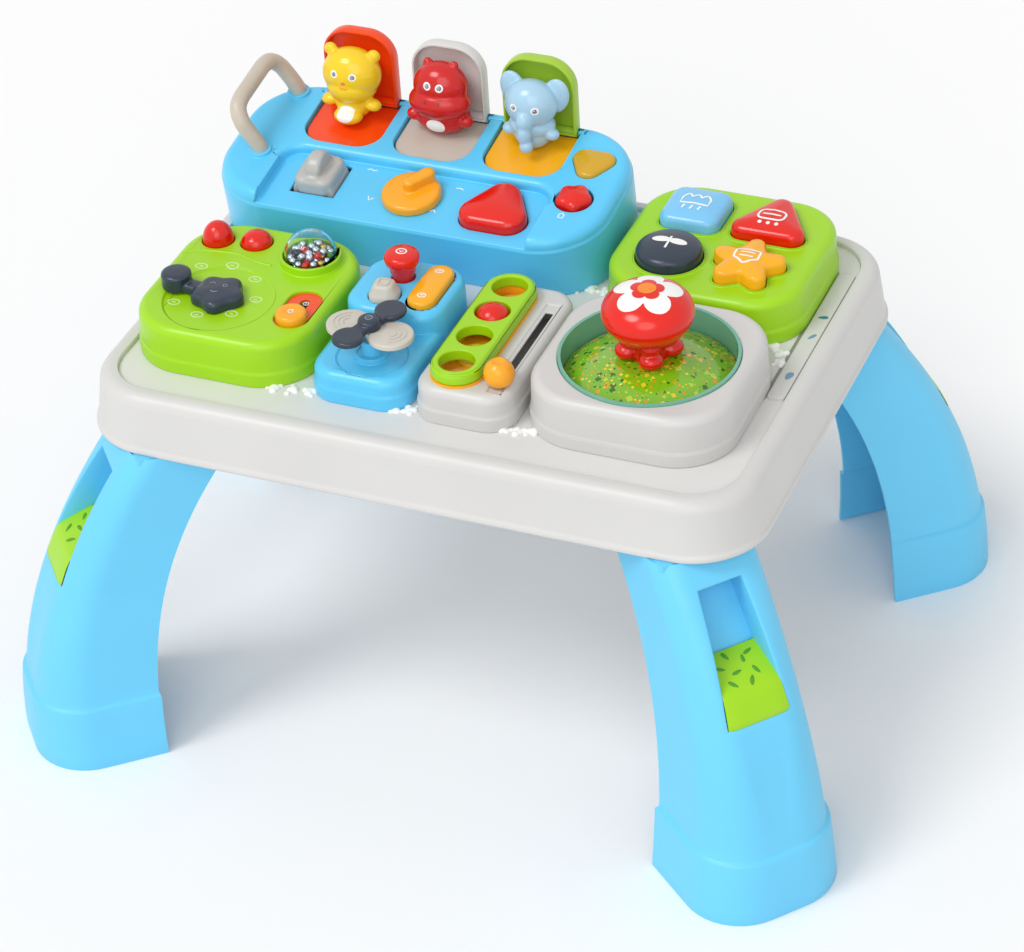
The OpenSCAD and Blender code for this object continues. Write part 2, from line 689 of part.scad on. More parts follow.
module propeller_housing() color(BLUE) translate([0, 0, deck_z]) difference() {
    union() {
        translate([prop_x, prop_y, 0]) housing_block(prop_w - 2, prop_d - 2, prop_corner_r, prop_low_h);
        translate([prop_x, prop_high_y, 0]) housing_block(prop_w, prop_high_d, prop_corner_r, prop_high_h);
        translate([prop_hub[0], prop_hub[1], prop_low_h - wall]) cylinder(r = 10, h = wall + 3);
        translate([prop_hub[0], prop_hub[1], prop_low_h - wall]) cylinder(r = 6, h = wall + 12);
    }
    difference() {
        union() {
            translate([prop_x, prop_y, 0]) housing_space(prop_w - 2, prop_d - 2, prop_corner_r, prop_low_h);
            translate([prop_x, prop_high_y, 0])
                housing_space(prop_w, prop_high_d, prop_corner_r, prop_high_h);
        }
        for (side = [-1, 1]) translate([rocker_at[0] + side * (rocker_w / 2 + rocker_gap + cheek / 2),
            rocker_at[1], prop_high_h]) cube([cheek, 8, 2 * (wall + 5)], center = true);
    }
    translate([prop_hub[0], prop_hub[1], prop_low_h - 1]) difference() {
        cylinder(r = dish_r, h = 10);
        translate([0, 0, -1]) cylinder(r = 10, h = 12);
    }
    translate([prop_hub[0], prop_hub[1], prop_low_h - axle_depth])
        cylinder(r = post_r + run_fit, h = 20);
    translate([red_knob_at[0], red_knob_at[1], prop_high_h - 2 * wall]) cylinder(r = stem_r + clear, h = 20);
    translate([grey_knob_at[0], grey_knob_at[1], prop_high_h - 2 * wall])
        cylinder(r = grey_knob_r + clear, h = 20);
    translate([rocker_at[0], rocker_at[1], prop_high_h - 2 * wall]) linear_extrude(20)
        capsule(rocker_l + 2 * rocker_gap, rocker_w + 2 * rocker_gap);
    translate([rocker_at[0], rocker_at[1], prop_high_h + rocker_pin_z]) rotate([0, 90, 0])
        cylinder(r = rocker_pin_r + run_fit, h = 2 * rocker_pin_half + 0.4, center = true);
}

module propeller_axle() color(STEEL) translate([prop_hub[0], prop_hub[1], prop_low - axle_depth])
    cylinder(r = post_r, h = axle_depth + blade_z + blade_thick + 1 - prop_low);

// Two round blades in one line through the hub
module blade_pair() linear_extrude(blade_thick) difference() {
    union() {
        for (side = [-1, 1]) translate([side * (blade_r - blade_w / 2), 0]) circle(blade_w / 2);
        square([2 * blade_r - blade_w, 0.6 * blade_w], center = true);
        circle(blade_hub_r + 1);
    }
    circle(post_r + run_fit);
}
module propeller_grey() color(GREY) translate([prop_hub[0], prop_hub[1], blade_z])
    rotate([0, 0, -8]) blade_pair();
module propeller_navy() color(NAVY) translate([prop_hub[0], prop_hub[1], blade_z + blade_thick]) {
    rotate([0, 0, 70]) blade_pair();
    translate([0, 0, blade_thick]) rotate_extrude()
        polygon(concat([[0, 0]], dome_points(blade_hub_r, 3, 0, 8)));
}

module red_push_knob() color(RED) translate([red_knob_at[0], red_knob_at[1], prop_high]) rotate_extrude() {
    translate([0, -wall - flange]) square([stem_r, red_knob_h]);
    translate([0, red_knob_h - 9]) square([red_knob_r, 6.5]);
    translate([0, red_knob_h - 9]) square([red_knob_r - 2.5, 9]);
    translate([red_knob_r - 2.5, red_knob_h - 2.5]) circle(2.5);
    translate([0, -wall - flange - seat]) square([stem_r + flange_grow, flange]);
}
module grey_push_knob() color(GREY) translate([grey_knob_at[0], grey_knob_at[1], prop_high]) {
    round_button_body(grey_knob_r, 3, 1);
    rotate_extrude() polygon([[0, 2], [grey_knob_r - 1, 2], [grey_knob_r - 3.5, grey_knob_h],
        [0, grey_knob_h]]);
}
module yellow_rocker() color(AMBER) translate([rocker_at[0], rocker_at[1], prop_high]) {
    translate([0, 0, -wall]) linear_extrude(wall + rocker_rise - 1.5) capsule(rocker_l, rocker_w);
    translate([0, 0, rocker_rise - 1.5]) linear_extrude(1.5) capsule(rocker_l - 3, rocker_w - 3);
    translate([0, 0, -wall - 2]) cube([rocker_w - 2, 7, 6], center = true);
    translate([0, 0, rocker_pin_z]) rotate([0, 90, 0])
        cylinder(r = rocker_pin_r, h = 2 * rocker_pin_half, center = true);
}

// ---- slider module

slide_top = deck_z + slide_h;
pod_x = slide_x - 7.5;
pod_y = slide_y;
slot_x = slide_x + 20.5;
slot_w = 5;
slot_inset = 20;
slot_y = [for (t = [0, slider_travel]) slide_y - slide_d / 2 + slot_inset + t];
slot_trough = 9;
pod_lip = 1.5;
pod_sink = 7;
tray_gap = 5;
pea_rise = 4;
function hole_y(k) = pod_y + (k - (pod_holes - 1) / 2) * pod_pitch;

module slider_housing() color(GREY) translate([0, 0, deck_z]) difference() {
    union() {
        translate([slide_x, slide_y, 0]) housing(slide_w, slide_d, slide_corner_r, slide_h);
        translate([pod_x, pod_y, slide_h - pod_sink - 2]) linear_extrude(pod_sink)
            capsule(pod_l - 1, pod_w - 1);
    }
    translate([pod_x, pod_y, slide_h - pod_sink]) linear_extrude(20)
        capsule(pod_l - tray_gap + 2 * seat, pod_w - tray_gap + 2 * seat);
    translate([slot_x - slot_w / 2, slot_y[0] - slot_w / 2, slide_h - 10])
        cube([slot_w, slider_travel + slot_w, 20]);
    translate([slot_x - slot_trough / 2, slot_y[0] - 10, slide_h - 1])
        cube([slot_trough, slider_travel + 20, 10]);
}

module pod_panel() color(GREEN) translate([pod_x, pod_y, slide_top + pod_lip]) difference() {
    union() {
        linear_extrude(pod_h - 1.5) capsule(pod_l, pod_w);
        translate([0, 0, pod_h - 1.5]) linear_extrude(1.5) capsule(pod_l - 3, pod_w - 3);
    }
    for (k = [0 : pod_holes - 1]) translate([0, hole_y(k) - pod_y, -1]) cylinder(r = pod_hole_r, h = 20);
}

// Yellow tray under the pod, whose lip shows round the panel
module pod_floor() color(AMBER) translate([pod_x, pod_y, slide_top]) difference() {
    union() {
        linear_extrude(pod_lip) capsule(pod_l + 1, pod_w + 1);
        translate([0, 0, -pod_sink]) linear_extrude(pod_sink + 1) capsule(pod_l - tray_gap, pod_w - tray_gap);
    }
    translate([0, 0, -pod_sink + 1.5]) linear_extrude(20) capsule(pod_l - tray_gap - 3, pod_w - tray_gap - 3);
}

// Red pea in the pod's third hole from the front
module pea_button() color(RED) translate([pod_x, hole_y(2), slide_top + pod_lip]) rotate_extrude() {
    pea_r = pod_hole_r - clear;
    translate([0, -flange]) square([pea_r, pod_h - 5 + flange]);
    translate([0, pod_h - 5]) polygon(concat([[0, 0]], dome_points(pea_r, pea_rise + 5, 0, 12)));
    translate([0, -flange - seat]) square([pea_r + flange_grow, flange]);
}

module slider_knob() color(AMBER) translate([slot_x, slot_y[0], slide_top + seat]) {
    under = wall + seat + 0.3;
    flat = 50;
    rotate_extrude() polygon(concat([[0, 0]], [for (k = [0 : 16]) let (t = -flat + (90 + flat) * k / 16)
        slider_ball_r * [cos(t), sin(t) + sin(flat)]]));
    translate([0, 0, -under - 1]) cylinder(r = slot_w / 2 - clear / 2, h = under + 4);
    translate([0, 0, -under - 2]) cylinder(r = 5, h = 2);
}

// ---- mushroom module

ring_top = deck_z + ring_h;
bowl_at = [ring_x, ring_y, deck_z];
bowl_seat = 4;
bowl_rim = 1;
floor_thick = 3;
floor_r = bowl_r - bowl_wall - clear;
hill_flat = 22;
hill_c = (pow(floor_r, 2) - pow(hill_flat, 2) - pow(hill_rise, 2)) / (2 * hill_rise);
hill_ball = sqrt(pow(floor_r, 2) + pow(hill_c, 2));
hill_top = floor_h + floor_thick + hill_rise;
pillar_r = 8;
skirt_r = 20.5;
skirt_lobe = 7.5;
skirt_h = 10;
skirt_turn = 25;
cap_half = 17;
stem_top = cap_top_h - cap_half + 3;
cap_stem_r = 9;

module mushroom_housing() color(GREY) translate(bowl_at) difference() {
    union() {
        housing(ring_w, ring_d, ring_corner_r, ring_h);
        linear_extrude(2) rounded(ring_w - 2 * (wall + ledge) + 1, ring_d - 2 * (wall + ledge) + 1,
            ring_corner_r - wall - ledge);
        cylinder(r = bowl_r + 2, h = bowl_seat);
        cylinder(r = pillar_r, h = floor_h - seat);
    }
    translate([0, 0, ring_h - wall - 1]) cylinder(r = bowl_r + seat, h = 20);
    translate([0, 0, 2]) cylinder(r = post_r + run_fit, h = floor_h);
}

module clear_bowl() color([0.2, 0.7, 0.65, 0.35]) translate(bowl_at) rotate_extrude()
    translate([bowl_r - bowl_wall, bowl_seat]) square([bowl_wall, ring_h - bowl_seat + bowl_rim]);

// Half section of the hill, sunk by the thickness of its shell for the space below it
module hill_2d(sink, r) intersection() {
    translate([0, floor_thick - hill_c - sink]) circle(hill_ball - sink / 3, $fn = 180);
    square([r, floor_thick + hill_rise - sink]);
}
module confetti_disc() color(GREEN) translate(bowl_at + [0, 0, floor_h]) rotate_extrude() difference() {
    hill_2d(0, floor_r);
    difference() {
        translate([0, -eps]) hill_2d(floor_thick, floor_r - 6);
        translate([0, -1]) square([pillar_r + 2, hill_rise + floor_thick + 2]);
    }
    translate([0, -1]) square([post_r + run_fit, hill_rise + floor_thick + 2]);
}

module mushroom_base() color(RED) translate(bowl_at) {
    translate([0, 0, 2 + seat]) cylinder(r = post_r, h = hill_top);
    translate([0, 0, hill_top]) {
        for (k = [0 : 3]) rotate([0, 0, skirt_turn + 90 * k]) translate([skirt_r - skirt_lobe, 0, 0])
            cylinder(r1 = skirt_lobe, r2 = skirt_lobe - 2, h = skirt_h);
        cylinder(r = skirt_r - skirt_lobe, h = skirt_h);
        cylinder(r = cap_stem_r, h = stem_top - hill_top - seat);
    }
}

module mushroom_cap() color(RED) translate(bowl_at) translate([0, 0, cap_top_h - cap_half]) rotate_extrude()
    difference() {
        polygon(concat([[0, -cap_half * sin(60)]], dome_points(cap_r, cap_half, -60, 18)));
        translate([0, -cap_half - 2]) square([cap_stem_r + seat, cap_half + 5]);
    }

// ---- shape module

shape_top = deck_z + shape_h;
shape_off = shape_pitch / 2;
square_at = [shape_x - shape_off, shape_y + shape_off - 2, shape_top];
triangle_at = [shape_x + shape_off - 1, shape_y + shape_off - 4, shape_top];
round_at = [shape_x - shape_off, shape_y - shape_off, shape_top];
star_at = [shape_x + shape_off - 1, shape_y - shape_off, shape_top];
collar = 1.2;

module shape_outline(kind, grow) {
    if (kind == "square") rounded(square_side + 2 * grow, square_side + 2 * grow, 9 + grow);
    if (kind == "triangle") triangle_2d(triangle_r, grow);
    if (kind == "round") circle(round_r + grow);
    if (kind == "star") star_2d(star_r, grow);
}
shape_kinds = [["square", square_at], ["triangle", triangle_at], ["round", round_at], ["star", star_at]];

module shape_housing() color(GREEN) difference() {
    union() {
        translate([shape_x, shape_y, deck_z]) housing(shape_w, shape_d, shape_corner_r, shape_h);
        for (s = shape_kinds) translate(s[1] - [0, 0, wall]) linear_extrude(wall + collar)
            shape_outline(s[0], clear + 1.6);
    }
    for (s = shape_kinds) translate(s[1] - [0, 0, 2 * wall]) linear_extrude(30) shape_outline(s[0], clear);
}

module shape_button(s) translate(s[1]) {
    translate([0, 0, -wall - flange - seat]) linear_extrude(flange) shape_outline(s[0], flange_grow);
    translate([0, 0, -wall - flange]) linear_extrude(wall + flange + shape_rise - 3) shape_outline(s[0], 0);
    translate([0, 0, shape_rise - 3]) linear_extrude(1.5) shape_outline(s[0], -1);
    translate([0, 0, shape_rise - 1.5]) linear_extrude(1.5) shape_outline(s[0], -2.6);
}

// ---- pop-up module, drawn on its own sloping top plane

pop_block = 72;
pop_ledge_drop = 9;
shelf_l = -pop_w / 2 + 39.5;
shelf_r = pop_w / 2 - 41.5;
shelf_corner = 14;
pocket_r = 16;
pocket_back = 5;
rod_v = pop_d - 9;
rod_w = -1;
barrel_r = 3.2;
lid_margin = 43.5;
lid_x = [for (k = [0 : 2]) -pop_w / 2 + lid_margin + pocket_w / 2 + k * lid_pitch];
deck_thick = shelf_drop + wall;
toggle_at = [shelf_l + 32, 34];
rotary_at = [(toggle_at[0] + shelf_r - 30) / 2 + 3, 31];
trigger_at = [shelf_r - 30, 29];
toggle_r = 15;
toggle_w = 31;
rotary_r = 19.5;
trigger_r = 24;
trigger_tip = 12;
amber_r = 15;
amber_tip = 8;
blob_r = 12;
amber_at = [lid_x[2] + pocket_w / 2 + amber_r + 3, 83];
blob_at = [amber_at[0] + 1, 47];
toggle_w0 = -shelf_drop - 5;
rotary_shaft_r = 6;
handle_foot = 2;
handle_knee = 7;
handle_bend = 13;
boss_rise = 1.2;
handle_u = -pop_w / 2 + 25.5;
handle_v = 43;

module on_slope(w = 0) translate([pop_x, pop_y, deck_z + pop_front_h]) rotate([pop_slope, 0, 0])
    translate([0, 0, w]) children();

// Pocket outline round the hinge axis, soft at the front
module pocket_2d() {
    translate([0, (pocket_back - pocket_reach) / 2]) rounded(pocket_w, pocket_reach + pocket_back, pocket_r);
    translate([-pocket_w / 2, -pocket_reach / 2]) square([pocket_w, pocket_reach / 2 + pocket_back]);
}
module pop_shell(grow, top) translate([0, pop_d / 2, -pop_block])
    block_around(pop_w - 2 * grow, pop_d - 2 * grow, pop_corner_r - grow, pop_block - top)
        wall_profile(pop_corner_r - grow, pop_block - top, grow == 0 ? pop_edge : inner_edge, 1,
            grow == 0 ? ledge : 0, grow == 0 ? pop_block - pop_ledge_drop : 0);

module popup_housing() color(BLUE) difference() {
    on_slope() difference() {
        union() {
            pop_shell(0, shelf_drop);
            difference() {
                pop_shell(0, 0);
                translate([(shelf_l + shelf_r) / 2, shelf_depth - pop_d / 2, -shelf_drop]) linear_extrude(20)
                    rounded(shelf_r - shelf_l, pop_d, shelf_corner);
            }
            for (v = [handle_v, handle_v + handle_span]) translate([handle_u, v, -3])
                cylinder(r = handle_r + 2.4, h = 3 + boss_rise);
        }
        difference() {
            pop_shell(wall + ledge, deck_thick);
            for (s = [-1, 1]) translate([toggle_at[0], toggle_at[1] + s * (toggle_w / 2 + clear + cheek / 2),
                toggle_w0 - 4]) translate([-5, -cheek / 2, 0]) cube([10, cheek, 20]);
        }
        translate([toggle_at[0], toggle_at[1], toggle_w0]) rotate([90, 0, 0])
            cylinder(r = 2 + run_fit, h = toggle_w + 20, center = true);
        for (x = lid_x) translate([x, rod_v, -2 * deck_thick]) linear_extrude(4 * deck_thick) pocket_2d();
        translate([lid_x[0] - pocket_w / 2 - 3, rod_v, rod_w]) rotate([0, 90, 0])
            cylinder(r = rod_r + run_fit, h = lid_x[2] - lid_x[0] + pocket_w + 6);
        translate([toggle_at[0], toggle_at[1], -20]) linear_extrude(20)
            square([2 * (toggle_r + clear), toggle_w + 2 * clear], center = true);
        translate([rotary_at[0], rotary_at[1], -20]) cylinder(r = rotary_shaft_r + run_fit, h = 20);
        translate([trigger_at[0], trigger_at[1], -20]) linear_extrude(20)
            triangle_2d(trigger_r, clear, trigger_tip);
        translate([amber_at[0], amber_at[1], -20]) linear_extrude(30) rotate(180)
            triangle_2d(amber_r, seat, amber_tip);
        translate([blob_at[0], blob_at[1], -20]) cylinder(r = blob_r + clear, h = 30);
        for (v = [handle_v, handle_v + handle_span]) translate([handle_u, v, -20])
            cylinder(r = handle_r - 1, h = 30);
    }
    translate([pop_x - pop_w, pop_y - pop_d, 0]) cube([2 * pop_w, 3 * pop_d, deck_z]);
    // Clears the tray's rim where the housing stands out past the deck
    translate([0, 0, deck_z - eps]) linear_extrude(tray_z + tray_height + seat - deck_z + eps) difference() {
        square([2 * top_length, 2 * top_depth], center = true);
        rounded(deck_l - clear, deck_d - clear, deck_r - clear / 2);
    }
}

module hinge_rod() color(STEEL) on_slope() translate([lid_x[0] - pocket_w / 2 - 2, rod_v, rod_w])
    rotate([0, 90, 0]) cylinder(r = rod_r, h = lid_x[2] - lid_x[0] + pocket_w + 4);

// Grab handle: tangs in the housing, feet that lean out, and a bar on two bends
module handle_turn(r, angle) rotate_extrude(angle = angle) translate([r, 0]) circle(handle_r);
module handle() color("#C9BEAE") on_slope() translate([handle_u, handle_v, boss_rise + seat]) {
    for (v = [0, handle_span]) translate([0, v, 0]) {
        translate([0, 0, -deck_thick]) cylinder(r = handle_r - 1 - run_fit, h = deck_thick + 1);
        cylinder(r = handle_r, h = handle_foot);
        translate([-handle_knee, 0, handle_foot]) rotate([90, 0, 0]) handle_turn(handle_knee, handle_slant);
    }
    translate([handle_knee * (cos(handle_slant) - 1), 0, handle_foot + handle_knee * sin(handle_slant)])
        rotate([0, -handle_slant, 0]) {
            for (v = [0, handle_span]) translate([0, v, 0])
                cylinder(r = handle_r, h = handle_rise - handle_bend);
            translate([0, handle_bend, handle_rise]) rotate([-90, 0, 0])
                cylinder(r = handle_r, h = handle_span - 2 * handle_bend);
            for (side = [-1, 1]) translate([0, handle_span / 2 + side * (handle_span / 2 - handle_bend),
                handle_rise - handle_bend]) rotate([90, 0, 90 * side]) handle_turn(handle_bend, 90);
        }
}

module toggle_lever() color("#B9B8B5") on_slope(toggle_w0) translate([toggle_at[0], toggle_at[1], 0])
    rotate([90, 0, 0]) {
        cylinder(r = toggle_r, h = toggle_w, center = true);
        cylinder(r = 2, h = toggle_w + 2 * clear + 4, center = true);
        translate([0, toggle_r - 2, 0]) rotate([0, 90, 0]) cylinder(r = toggle_r - 2.5, h = 9, center = true);
    }

module rotary_knob() color(AMBER) on_slope(-shelf_drop) translate([rotary_at[0], rotary_at[1], 0]) {
    translate([0, 0, seat]) rotate_extrude() {
        square([rotary_r - 3, 7]);
        square([rotary_r, 4]);
        translate([rotary_r - 3, 4]) circle(3);
    }
    rotate([0, 0, 55]) translate([0, 0, 8]) rotate([90, 0, 0]) linear_extrude(9, center = true) {
        circle(9);
        translate([-2, -6]) square([rotary_r, 12]);
    }
    translate([0, 0, -wall - 3]) cylinder(r = rotary_shaft_r, h = wall + 4);
    translate([0, 0, -wall - 3]) cylinder(r = rotary_shaft_r + 2, h = 3 - seat);
}

module trigger_button() color(RED) on_slope(-shelf_drop) translate([trigger_at[0], trigger_at[1], 0]) {
    translate([0, 0, -wall - flange - seat]) linear_extrude(flange)
        triangle_2d(trigger_r, flange_grow, trigger_tip);
    translate([0, 0, -wall - flange]) linear_extrude(wall + flange + 7) triangle_2d(trigger_r, 0, trigger_tip);
    translate([0, 0, 7]) linear_extrude(2) triangle_2d(trigger_r, -1.2, trigger_tip);
    translate([0, 0, 9]) linear_extrude(1.5) triangle_2d(trigger_r, -3, trigger_tip);
}

module amber_light() color(AMBER) on_slope() translate([amber_at[0], amber_at[1], -deck_thick])
    rotate(180) {
        linear_extrude(deck_thick + 2.5) triangle_2d(amber_r, 0, amber_tip);
        linear_extrude(deck_thick + 4) triangle_2d(amber_r, -1.5, amber_tip);
    }

module red_small_button() color(RED) on_slope() translate([blob_at[0], blob_at[1], 0])
    round_button_body(blob_r, 6, 3, deck_thick);

// Hinge axis of the pop-ups in the table's frame
hinge_y = pop_y + rod_v * cos(pop_slope) - rod_w * sin(pop_slope);
hinge_z = deck_z + pop_front_h + rod_v * sin(pop_slope) + rod_w * cos(pop_slope);
lid_gap = 2;
lid_thick = 2;
lid_rim = 5;
lid_corner = 19;
cradle_thick = 1.8;
cradle_gap = 0.5;
cradle_reach = pocket_reach - cradle_gap;
cradle_top = -2;
cradle_start = sqrt(pow(barrel_r + seat, 2) - pow(cradle_top, 2));
swing_r = pocket_reach - 1;

module at_hinge(k) translate([pop_x + lid_x[k], hinge_y, hinge_z]) children();
module arch(w, h, r, low) intersection() {
    rounded(w, 2 * h, r);
    translate([-w / 2, low]) square([w, h - low]);
}

module lid(k, tint) color(tint) at_hinge(k) difference() {
    union() {
        translate([0, lid_gap + lid_thick, 0]) rotate([90, 0, 0])
            linear_extrude(lid_gap + lid_thick + lid_rim) arch(lid_w, lid_l, lid_corner, -1);
        rotate([0, 90, 0]) cylinder(r = barrel_r, h = lid_w, center = true);
    }
    difference() {
        translate([0, lid_gap, 0]) rotate([90, 0, 0]) linear_extrude(30)
            arch(lid_w - 2 * lid_thick, lid_l - lid_thick, lid_corner - lid_thick, -2);
        rotate([0, 90, 0]) cylinder(r = barrel_r, h = lid_w + 2, center = true);
    }
    rotate([0, 90, 0]) cylinder(r = rod_r + run_fit, h = lid_w + 2, center = true);
}

module cradle(k, tint) color(tint) at_hinge(k) rotate([pop_slope, 0, 0])
    translate([0, 0, cradle_top - cradle_thick]) linear_extrude(cradle_thick) mirror([0, 1])
        arch(pocket_w - 2 * cradle_gap, cradle_reach, pocket_r - cradle_gap, cradle_start);

// Keeps a figure above its cradle and inside the swing that clears the pocket
module figure(k, tint) color(tint) at_hinge(k) intersection() {
    union() children();
    difference() {
        rotate([0, 90, 0]) cylinder(r = swing_r - 0.6, h = lid_w, center = true, $fn = 128);
        rotate([pop_slope, 0, 0]) translate([-lid_w, -lid_l * 2, cradle_top + seat / 2 - 100])
            cube([2 * lid_w, 4 * lid_l, 100]);
    }
}

head = [4.5, -15.5, 28.5];
head_r = 15.7;
module pair(p) for (s = [-1, 1]) translate([s * p[0], p[1], p[2]]) children();
module torso() translate([0, -16, -6]) cylinder(r1 = 13, r2 = 11, h = 24);

module bear() figure(0, AMBER) {
    pair(head) sphere(head_r);
    pair([14, -14, 40]) sphere(5);
    pair([15, -20, 10]) sphere(4.5);
    torso();
}
module hippo() figure(1, RED) {
    pair(head + [-1, 0, 0]) sphere(head_r);
    pair([11, -14, 41]) sphere(4);
    pair([6, -20, 18]) sphere(13);
    torso();
}
module elephant() figure(2, PALE) {
    pair(head + [-1, 0, 0]) sphere(head_r);
    pair([16, -9, 29]) sphere(7);
    pair([15, -20, 10]) sphere(4.5);
    torso();
    translate([0, -33, 3]) cylinder(r1 = 3.4, r2 = 6, h = 18);
}

tray_top();
tray_underside();
deck_insert();
leg(-1, -1);  // leg_front_left
leg(1, -1);  // leg_front_right
leg(-1, 1);  // leg_back_left
leg(1, 1);  // leg_back_right
leg_window_blocks();
screws();
dial_housing();
dial_crank();
dial_knob();
push_dome(dome_left_at, dome_left_h);  // dome_left
push_dome(dome_right_at, dome_right_h);  // dome_right
rattle_ball();
rattle_beads();
switch_plate();
switch_slider();
propeller_housing();
propeller_navy();
propeller_grey();
propeller_axle();
red_push_knob();
grey_push_knob();
yellow_rocker();
slider_housing();
pod_panel();
pod_floor();
pea_button();
slider_knob();
mushroom_housing();
clear_bowl();
confetti_disc();
mushroom_cap();
mushroom_base();
shape_housing();
color("#7CC7F4") shape_button(shape_kinds[0]);  // square_button
color(RED) shape_button(shape_kinds[1]);  // triangle_button
color(NAVY) shape_button(shape_kinds[2]);  // round_button
color(AMBER) shape_button(shape_kinds[3]);  // star_button
popup_housing();
handle();
toggle_lever();
rotary_knob();
trigger_button();
amber_light();
red_small_button();
lid(0, ORANGE);  // lid_left
lid(1, GREY);  // lid_middle
lid(2, GREEN);  // lid_right
cradle(0, ORANGE);  // cradle_left
cradle(1, GREY);  // cradle_middle
cradle(2, AMBER);  // cradle_right
bear();
hippo();
elephant();
hinge_rod();
battery_door();
speaker();
circuit_board();
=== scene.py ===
# %% [markdown]
# # A musical activity table, dressed in Blender
# The table is a toddler's toy: a grey moulded tray on four curved legs, with six play modules on it.
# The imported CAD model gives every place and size, so each piece made here is set on the solid that carries it.
# Lengths are written in millimetres and turned into metres in one place.

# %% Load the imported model
import json
import math

import bmesh
import bpy
from mathutils import Matrix, Vector


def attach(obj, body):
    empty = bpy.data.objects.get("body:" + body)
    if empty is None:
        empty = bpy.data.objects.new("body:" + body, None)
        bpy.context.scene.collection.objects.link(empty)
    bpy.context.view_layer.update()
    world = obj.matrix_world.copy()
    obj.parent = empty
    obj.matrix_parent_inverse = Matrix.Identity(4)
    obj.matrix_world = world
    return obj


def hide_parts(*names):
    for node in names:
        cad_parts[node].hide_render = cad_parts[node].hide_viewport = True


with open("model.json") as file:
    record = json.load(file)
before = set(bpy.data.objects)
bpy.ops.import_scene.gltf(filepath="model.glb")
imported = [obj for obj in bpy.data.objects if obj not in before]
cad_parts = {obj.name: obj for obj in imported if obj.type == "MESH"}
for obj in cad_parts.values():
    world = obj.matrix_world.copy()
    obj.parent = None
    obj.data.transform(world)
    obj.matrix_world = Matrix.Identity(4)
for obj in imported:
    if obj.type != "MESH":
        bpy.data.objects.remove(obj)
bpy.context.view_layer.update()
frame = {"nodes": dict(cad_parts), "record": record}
record = frame["record"]
MM = 0.001


# %% [markdown]
# ## Camera
# A long lens from the front right, well above the table, looks down on all six modules at once.

# %% Camera
CAMERA_AT = Vector((778.4, -1699.4, 1501.3)) * MM
CAMERA_RIGHT = Vector((0.9248, 0.3766, -0.0547))
CAMERA_UP = Vector((-0.1843, 0.5691, 0.8013))
CAMERA_BACK = Vector((0.3329, -0.7310, 0.5957))

camera_data = bpy.data.cameras.new("camera")
camera_data.sensor_width = 36.0
camera_data.lens = 126.6
camera_data.shift_y = 0.0165
camera_data.clip_start, camera_data.clip_end = 0.1, 100.0
camera = bpy.data.objects.new("camera", camera_data)
camera.matrix_world = (Matrix.Translation(CAMERA_AT)
                       @ Matrix((CAMERA_RIGHT, CAMERA_UP, CAMERA_BACK)).transposed().to_4x4())
bpy.context.scene.collection.objects.link(camera)
bpy.context.scene.camera = camera
print("camera at", [round(x, 3) for x in CAMERA_AT])

# %% [markdown]
# ## Materials
# Toy plastic is coloured through and moulded, so its colour hardly varies. What the eye reads as plastic is
# the gloss, a faint unevenness in it, and a fine grain that breaks the highlights up.

# %% Moulded plastic


def linear(code):
    """A hex colour code as the linear numbers that a shader reads."""
    values = [int(code[i:i + 2], 16) / 255 for i in (0, 2, 4)]
    return [v / 12.92 if v <= 0.04045 else ((v + 0.055) / 1.055) ** 2.4 for v in values] + [1.0]


def node_of(tree, kind, at=(0, 0), **inputs):
    """A new shader node of one kind, with its unlinked inputs set by name."""
    made = tree.nodes.new("ShaderNode" + kind)
    made.location = at
    for name, value in inputs.items():
        made.inputs[name.replace("_", " ")].default_value = value
    return made


def shaded(tone, share):
    """The same colour, lighter for a share above one and darker below it."""
    return [min(1.0, c * share) for c in tone[:3]] + [1.0]


def new_finish(name):
    """A new material, its node tree and its shader."""
    made = bpy.data.materials.new(name)
    made.use_nodes = True
    return made, made.node_tree, made.node_tree.nodes["Principled BSDF"]


def wire(tree, *links):
    """Joins sockets: each link is a node, its output, the next node and its input."""
    for source, output, target, entry in links:
        tree.links.new(source.outputs[output], target.inputs[entry])


def plastic(name, code, rough=0.3, grain=0.06, fleck=1900.0, vary=0.05, coat=0.0):
    """Moulded plastic: cloudy tone, uneven gloss and a fine moulded grain."""
    made, tree, shader = new_finish(name)
    shader.inputs["IOR"].default_value = 1.5
    shader.inputs["Coat Weight"].default_value = coat
    shader.inputs["Coat Roughness"].default_value = 0.08
    place = node_of(tree, "TexCoord", (-1100, 0))
    cloud = node_of(tree, "TexNoise", (-900, 200), Scale=14.0, Detail=3.0)
    tone = node_of(tree, "Mix", (-500, 200))
    tone.data_type = "RGBA"
    base = linear(code)
    tone.inputs["A"].default_value = shaded(base, 1 - vary)
    tone.inputs["B"].default_value = shaded(base, 1 + vary)
    streak = node_of(tree, "TexNoise", (-900, -50), Scale=70.0, Detail=4.0)
    gloss = node_of(tree, "MapRange", (-500, -50), To_Min=rough - 0.05, To_Max=rough + 0.07)
    fine = node_of(tree, "TexNoise", (-900, -300), Scale=fleck, Detail=2.0)
    bump = node_of(tree, "Bump", (-500, -300), Strength=grain, Distance=0.0002)
    wire(tree, (place, "Object", cloud, "Vector"), (cloud, "Fac", tone, "Factor"),
         (tone, "Result", shader, "Base Color"), (place, "Object", streak, "Vector"),
         (streak, "Fac", gloss, "Value"), (gloss, "Result", shader, "Roughness"),
         (place, "Object", fine, "Vector"), (fine, "Fac", bump, "Height"), (bump, "Normal", shader, "Normal"))
    return made


